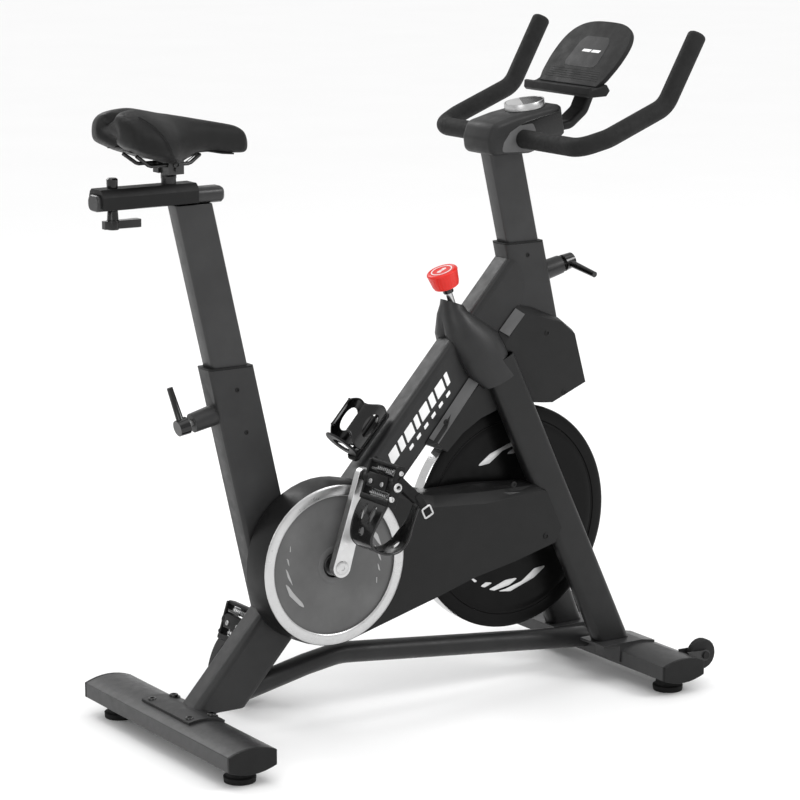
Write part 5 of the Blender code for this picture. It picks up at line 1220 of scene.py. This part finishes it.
class BIKE_OT_bottle_cage(Builder, bpy.types.Operator):
    """Bottle cage: a sprung sheet bent round the bottle with an oval in each wing, on a backing plate"""
    bl_idname = "bike.bottle_cage"
    bl_label = "Bottle cage"

    def execute(self, context):
        node = "bottle_cage"
        seat = spot(-40, 517.6) + BEAM_UP * 0.7
        axis_at = seat + BEAM_UP * 40 + BEAM_ALONG * 4.0
        radius, first, last = 37.0, -226, 46
        angle = np.linspace(math.radians(first), math.radians(last), 140)
        line = axis_at + radius * (np.cos(angle)[:, None] * ACROSS + np.sin(angle)[:, None] * BEAM_UP)
        share = np.abs(np.linspace(-1, 1, 140))
        halves = 44 - 16 * smooth_step(share, 0.62, 1.0) - 14 * smooth_step(1 - share, 0.35, 0.9)
        span = radius * math.radians(last - first)
        holes = [(span * 0.19, 2, 14, 24), (span * 0.81, 2, 14, 24), (span * 0.5, 0, 8, 16)]
        piece("cage_wings", sheet_with_holes(line, halves, holes, BEAM_ALONG, 3.0, 150, 64), "gloss", node,
              ("bottle_cage",), angle=50)
        rims = []
        for hand in (-1, 1):
            edge = line + (halves * hand)[:, None] * BEAM_ALONG
            rims.append(swept(edge, superellipse(2.3, 2.3, 12), side=BEAM_ALONG))
        piece("cage_rims", joined(*rims), "gloss", node)
        plate = rounded_box_line(108, 34, 9, 6) + np.array([-1.0, 0.0])
        backing = slab(plate, 0.3, 5.6, seat, BEAM_ALONG, ACROSS, BEAM_UP, 1.2)
        ribs = [slab(rounded_box_line(100, 4, 1.6) + np.array([-1.0, place]), 5.0, 8.6, seat, BEAM_ALONG,
                     ACROSS, BEAM_UP, 0.8) for place in (-12, 12)]
        foot_ring = turned([(18, -1.6), (20, -2), (33, -2), (35, -0.6), (35, 1.6), (33, 2), (18, 2)],
                           axis_at - BEAM_ALONG * 50, BEAM_ALONG, 72, ring=True)
        piece("cage_back", joined(backing, *ribs, foot_ring), "plastic", node)
        screws = [screw_head(seat + BEAM_ALONG * place + BEAM_UP * 5.4, BEAM_UP, 5.2, 2.6)
                  for place in (-32, 32)]
        piece("cage_screws", joined(*screws), "steel", node)
        return {"FINISHED"}


class BIKE_OT_stabilisers(Builder, bpy.types.Operator):
    """Floor bars, their end caps, levelling feet and transport wheels"""
    bl_idname = "bike.stabilisers"
    bl_label = "Stabilisers"

    def execute(self, context):
        copy_group("stabilisers")
        return {"FINISHED"}


class BIKE_OT_cranks(Builder, bpy.types.Operator):
    """Crank axle and arms with caps over their bolts and pedal eyes"""
    bl_idname = "bike.cranks"
    bl_label = "Cranks"

    def execute(self, context):
        copy_group("cranks")
        cap = [(13, 0), (13, 1.0), (12, 1.7), (6, 1.9), (4.4, 1.7), (4.0, 0.7), (0.3, 0.6)]
        caps = [turned(cap, (CRANK[0], side * 109, CRANK[2]), ACROSS * side, 60) for side in (-1, 1)]
        piece("crank_caps", joined(*caps), "steel", "crank_arm_right")
        eye = [(11, 0), (11, 1.2), (10, 1.8), (5, 1.8), (4.4, 0.8), (0.3, 0.8)]
        eyes = [turned(eye, CRANK + spot(-side * 49.7, -side * 162.6, side * 94.0), -ACROSS * side, 48)
                for side in (-1, 1)]
        piece("pedal_eye_caps", joined(*eyes), "steel", "crank_arm_right")
        return {"FINISHED"}


class BIKE_OT_seat_carrier(Builder, bpy.types.Operator):
    """Seat post, rail, slider, stem and their levers"""
    bl_idname = "bike.seat_carrier"
    bl_label = "Seat carrier"

    def execute(self, context):
        copy_group("seat_carrier")
        return {"FINISHED"}


# ---------------------------------------------------------------- panel and registration

OPERATORS = [BIKE_OT_stage, BIKE_OT_frame_tubes, BIKE_OT_stabilisers, BIKE_OT_covers, BIKE_OT_flywheel,
             BIKE_OT_cranks, BIKE_OT_pedals, BIKE_OT_seat_carrier, BIKE_OT_saddle, BIKE_OT_handlebar,
             BIKE_OT_console, BIKE_OT_brake, BIKE_OT_bottle_cage]


class BIKE_PT_panel(bpy.types.Panel):
    """Lists the steps that build the bike's visible pieces"""
    bl_label = "Studio bike"
    bl_idname = "BIKE_PT_panel"
    bl_space_type = "VIEW_3D"
    bl_region_type = "UI"
    bl_category = "Bike"

    def draw(self, context):
        scene = context.scene
        for operator in OPERATORS:
            self.layout.operator(operator.bl_idname)
        for settings in (scene.bike_stage, scene.bike_saddle, scene.bike_print):
            for name in settings.bl_rna.properties.keys():
                if name not in ("rna_type", "name"):
                    self.layout.prop(settings, name)


CLASSES = [StageSettings, SaddleSettings, PrintAndHighlightSettings] + OPERATORS + [BIKE_PT_panel]


def register():
    for one in CLASSES:
        bpy.utils.register_class(one)
    bpy.types.Scene.bike_stage = bpy.props.PointerProperty(type=StageSettings)
    bpy.types.Scene.bike_saddle = bpy.props.PointerProperty(type=SaddleSettings)
    bpy.types.Scene.bike_print = bpy.props.PointerProperty(type=PrintAndHighlightSettings)


def unregister():
    del bpy.types.Scene.bike_print
    del bpy.types.Scene.bike_saddle
    del bpy.types.Scene.bike_stage
    for one in reversed(CLASSES):
        bpy.utils.unregister_class(one)


def main():
    """Registers the add-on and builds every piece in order."""
    register()
    build_finishes()
    for operator in OPERATORS:
        step = operator.bl_idname.split(".")[1]
        getattr(bpy.ops.bike, step)()


if __name__ == "__main__":
    main()
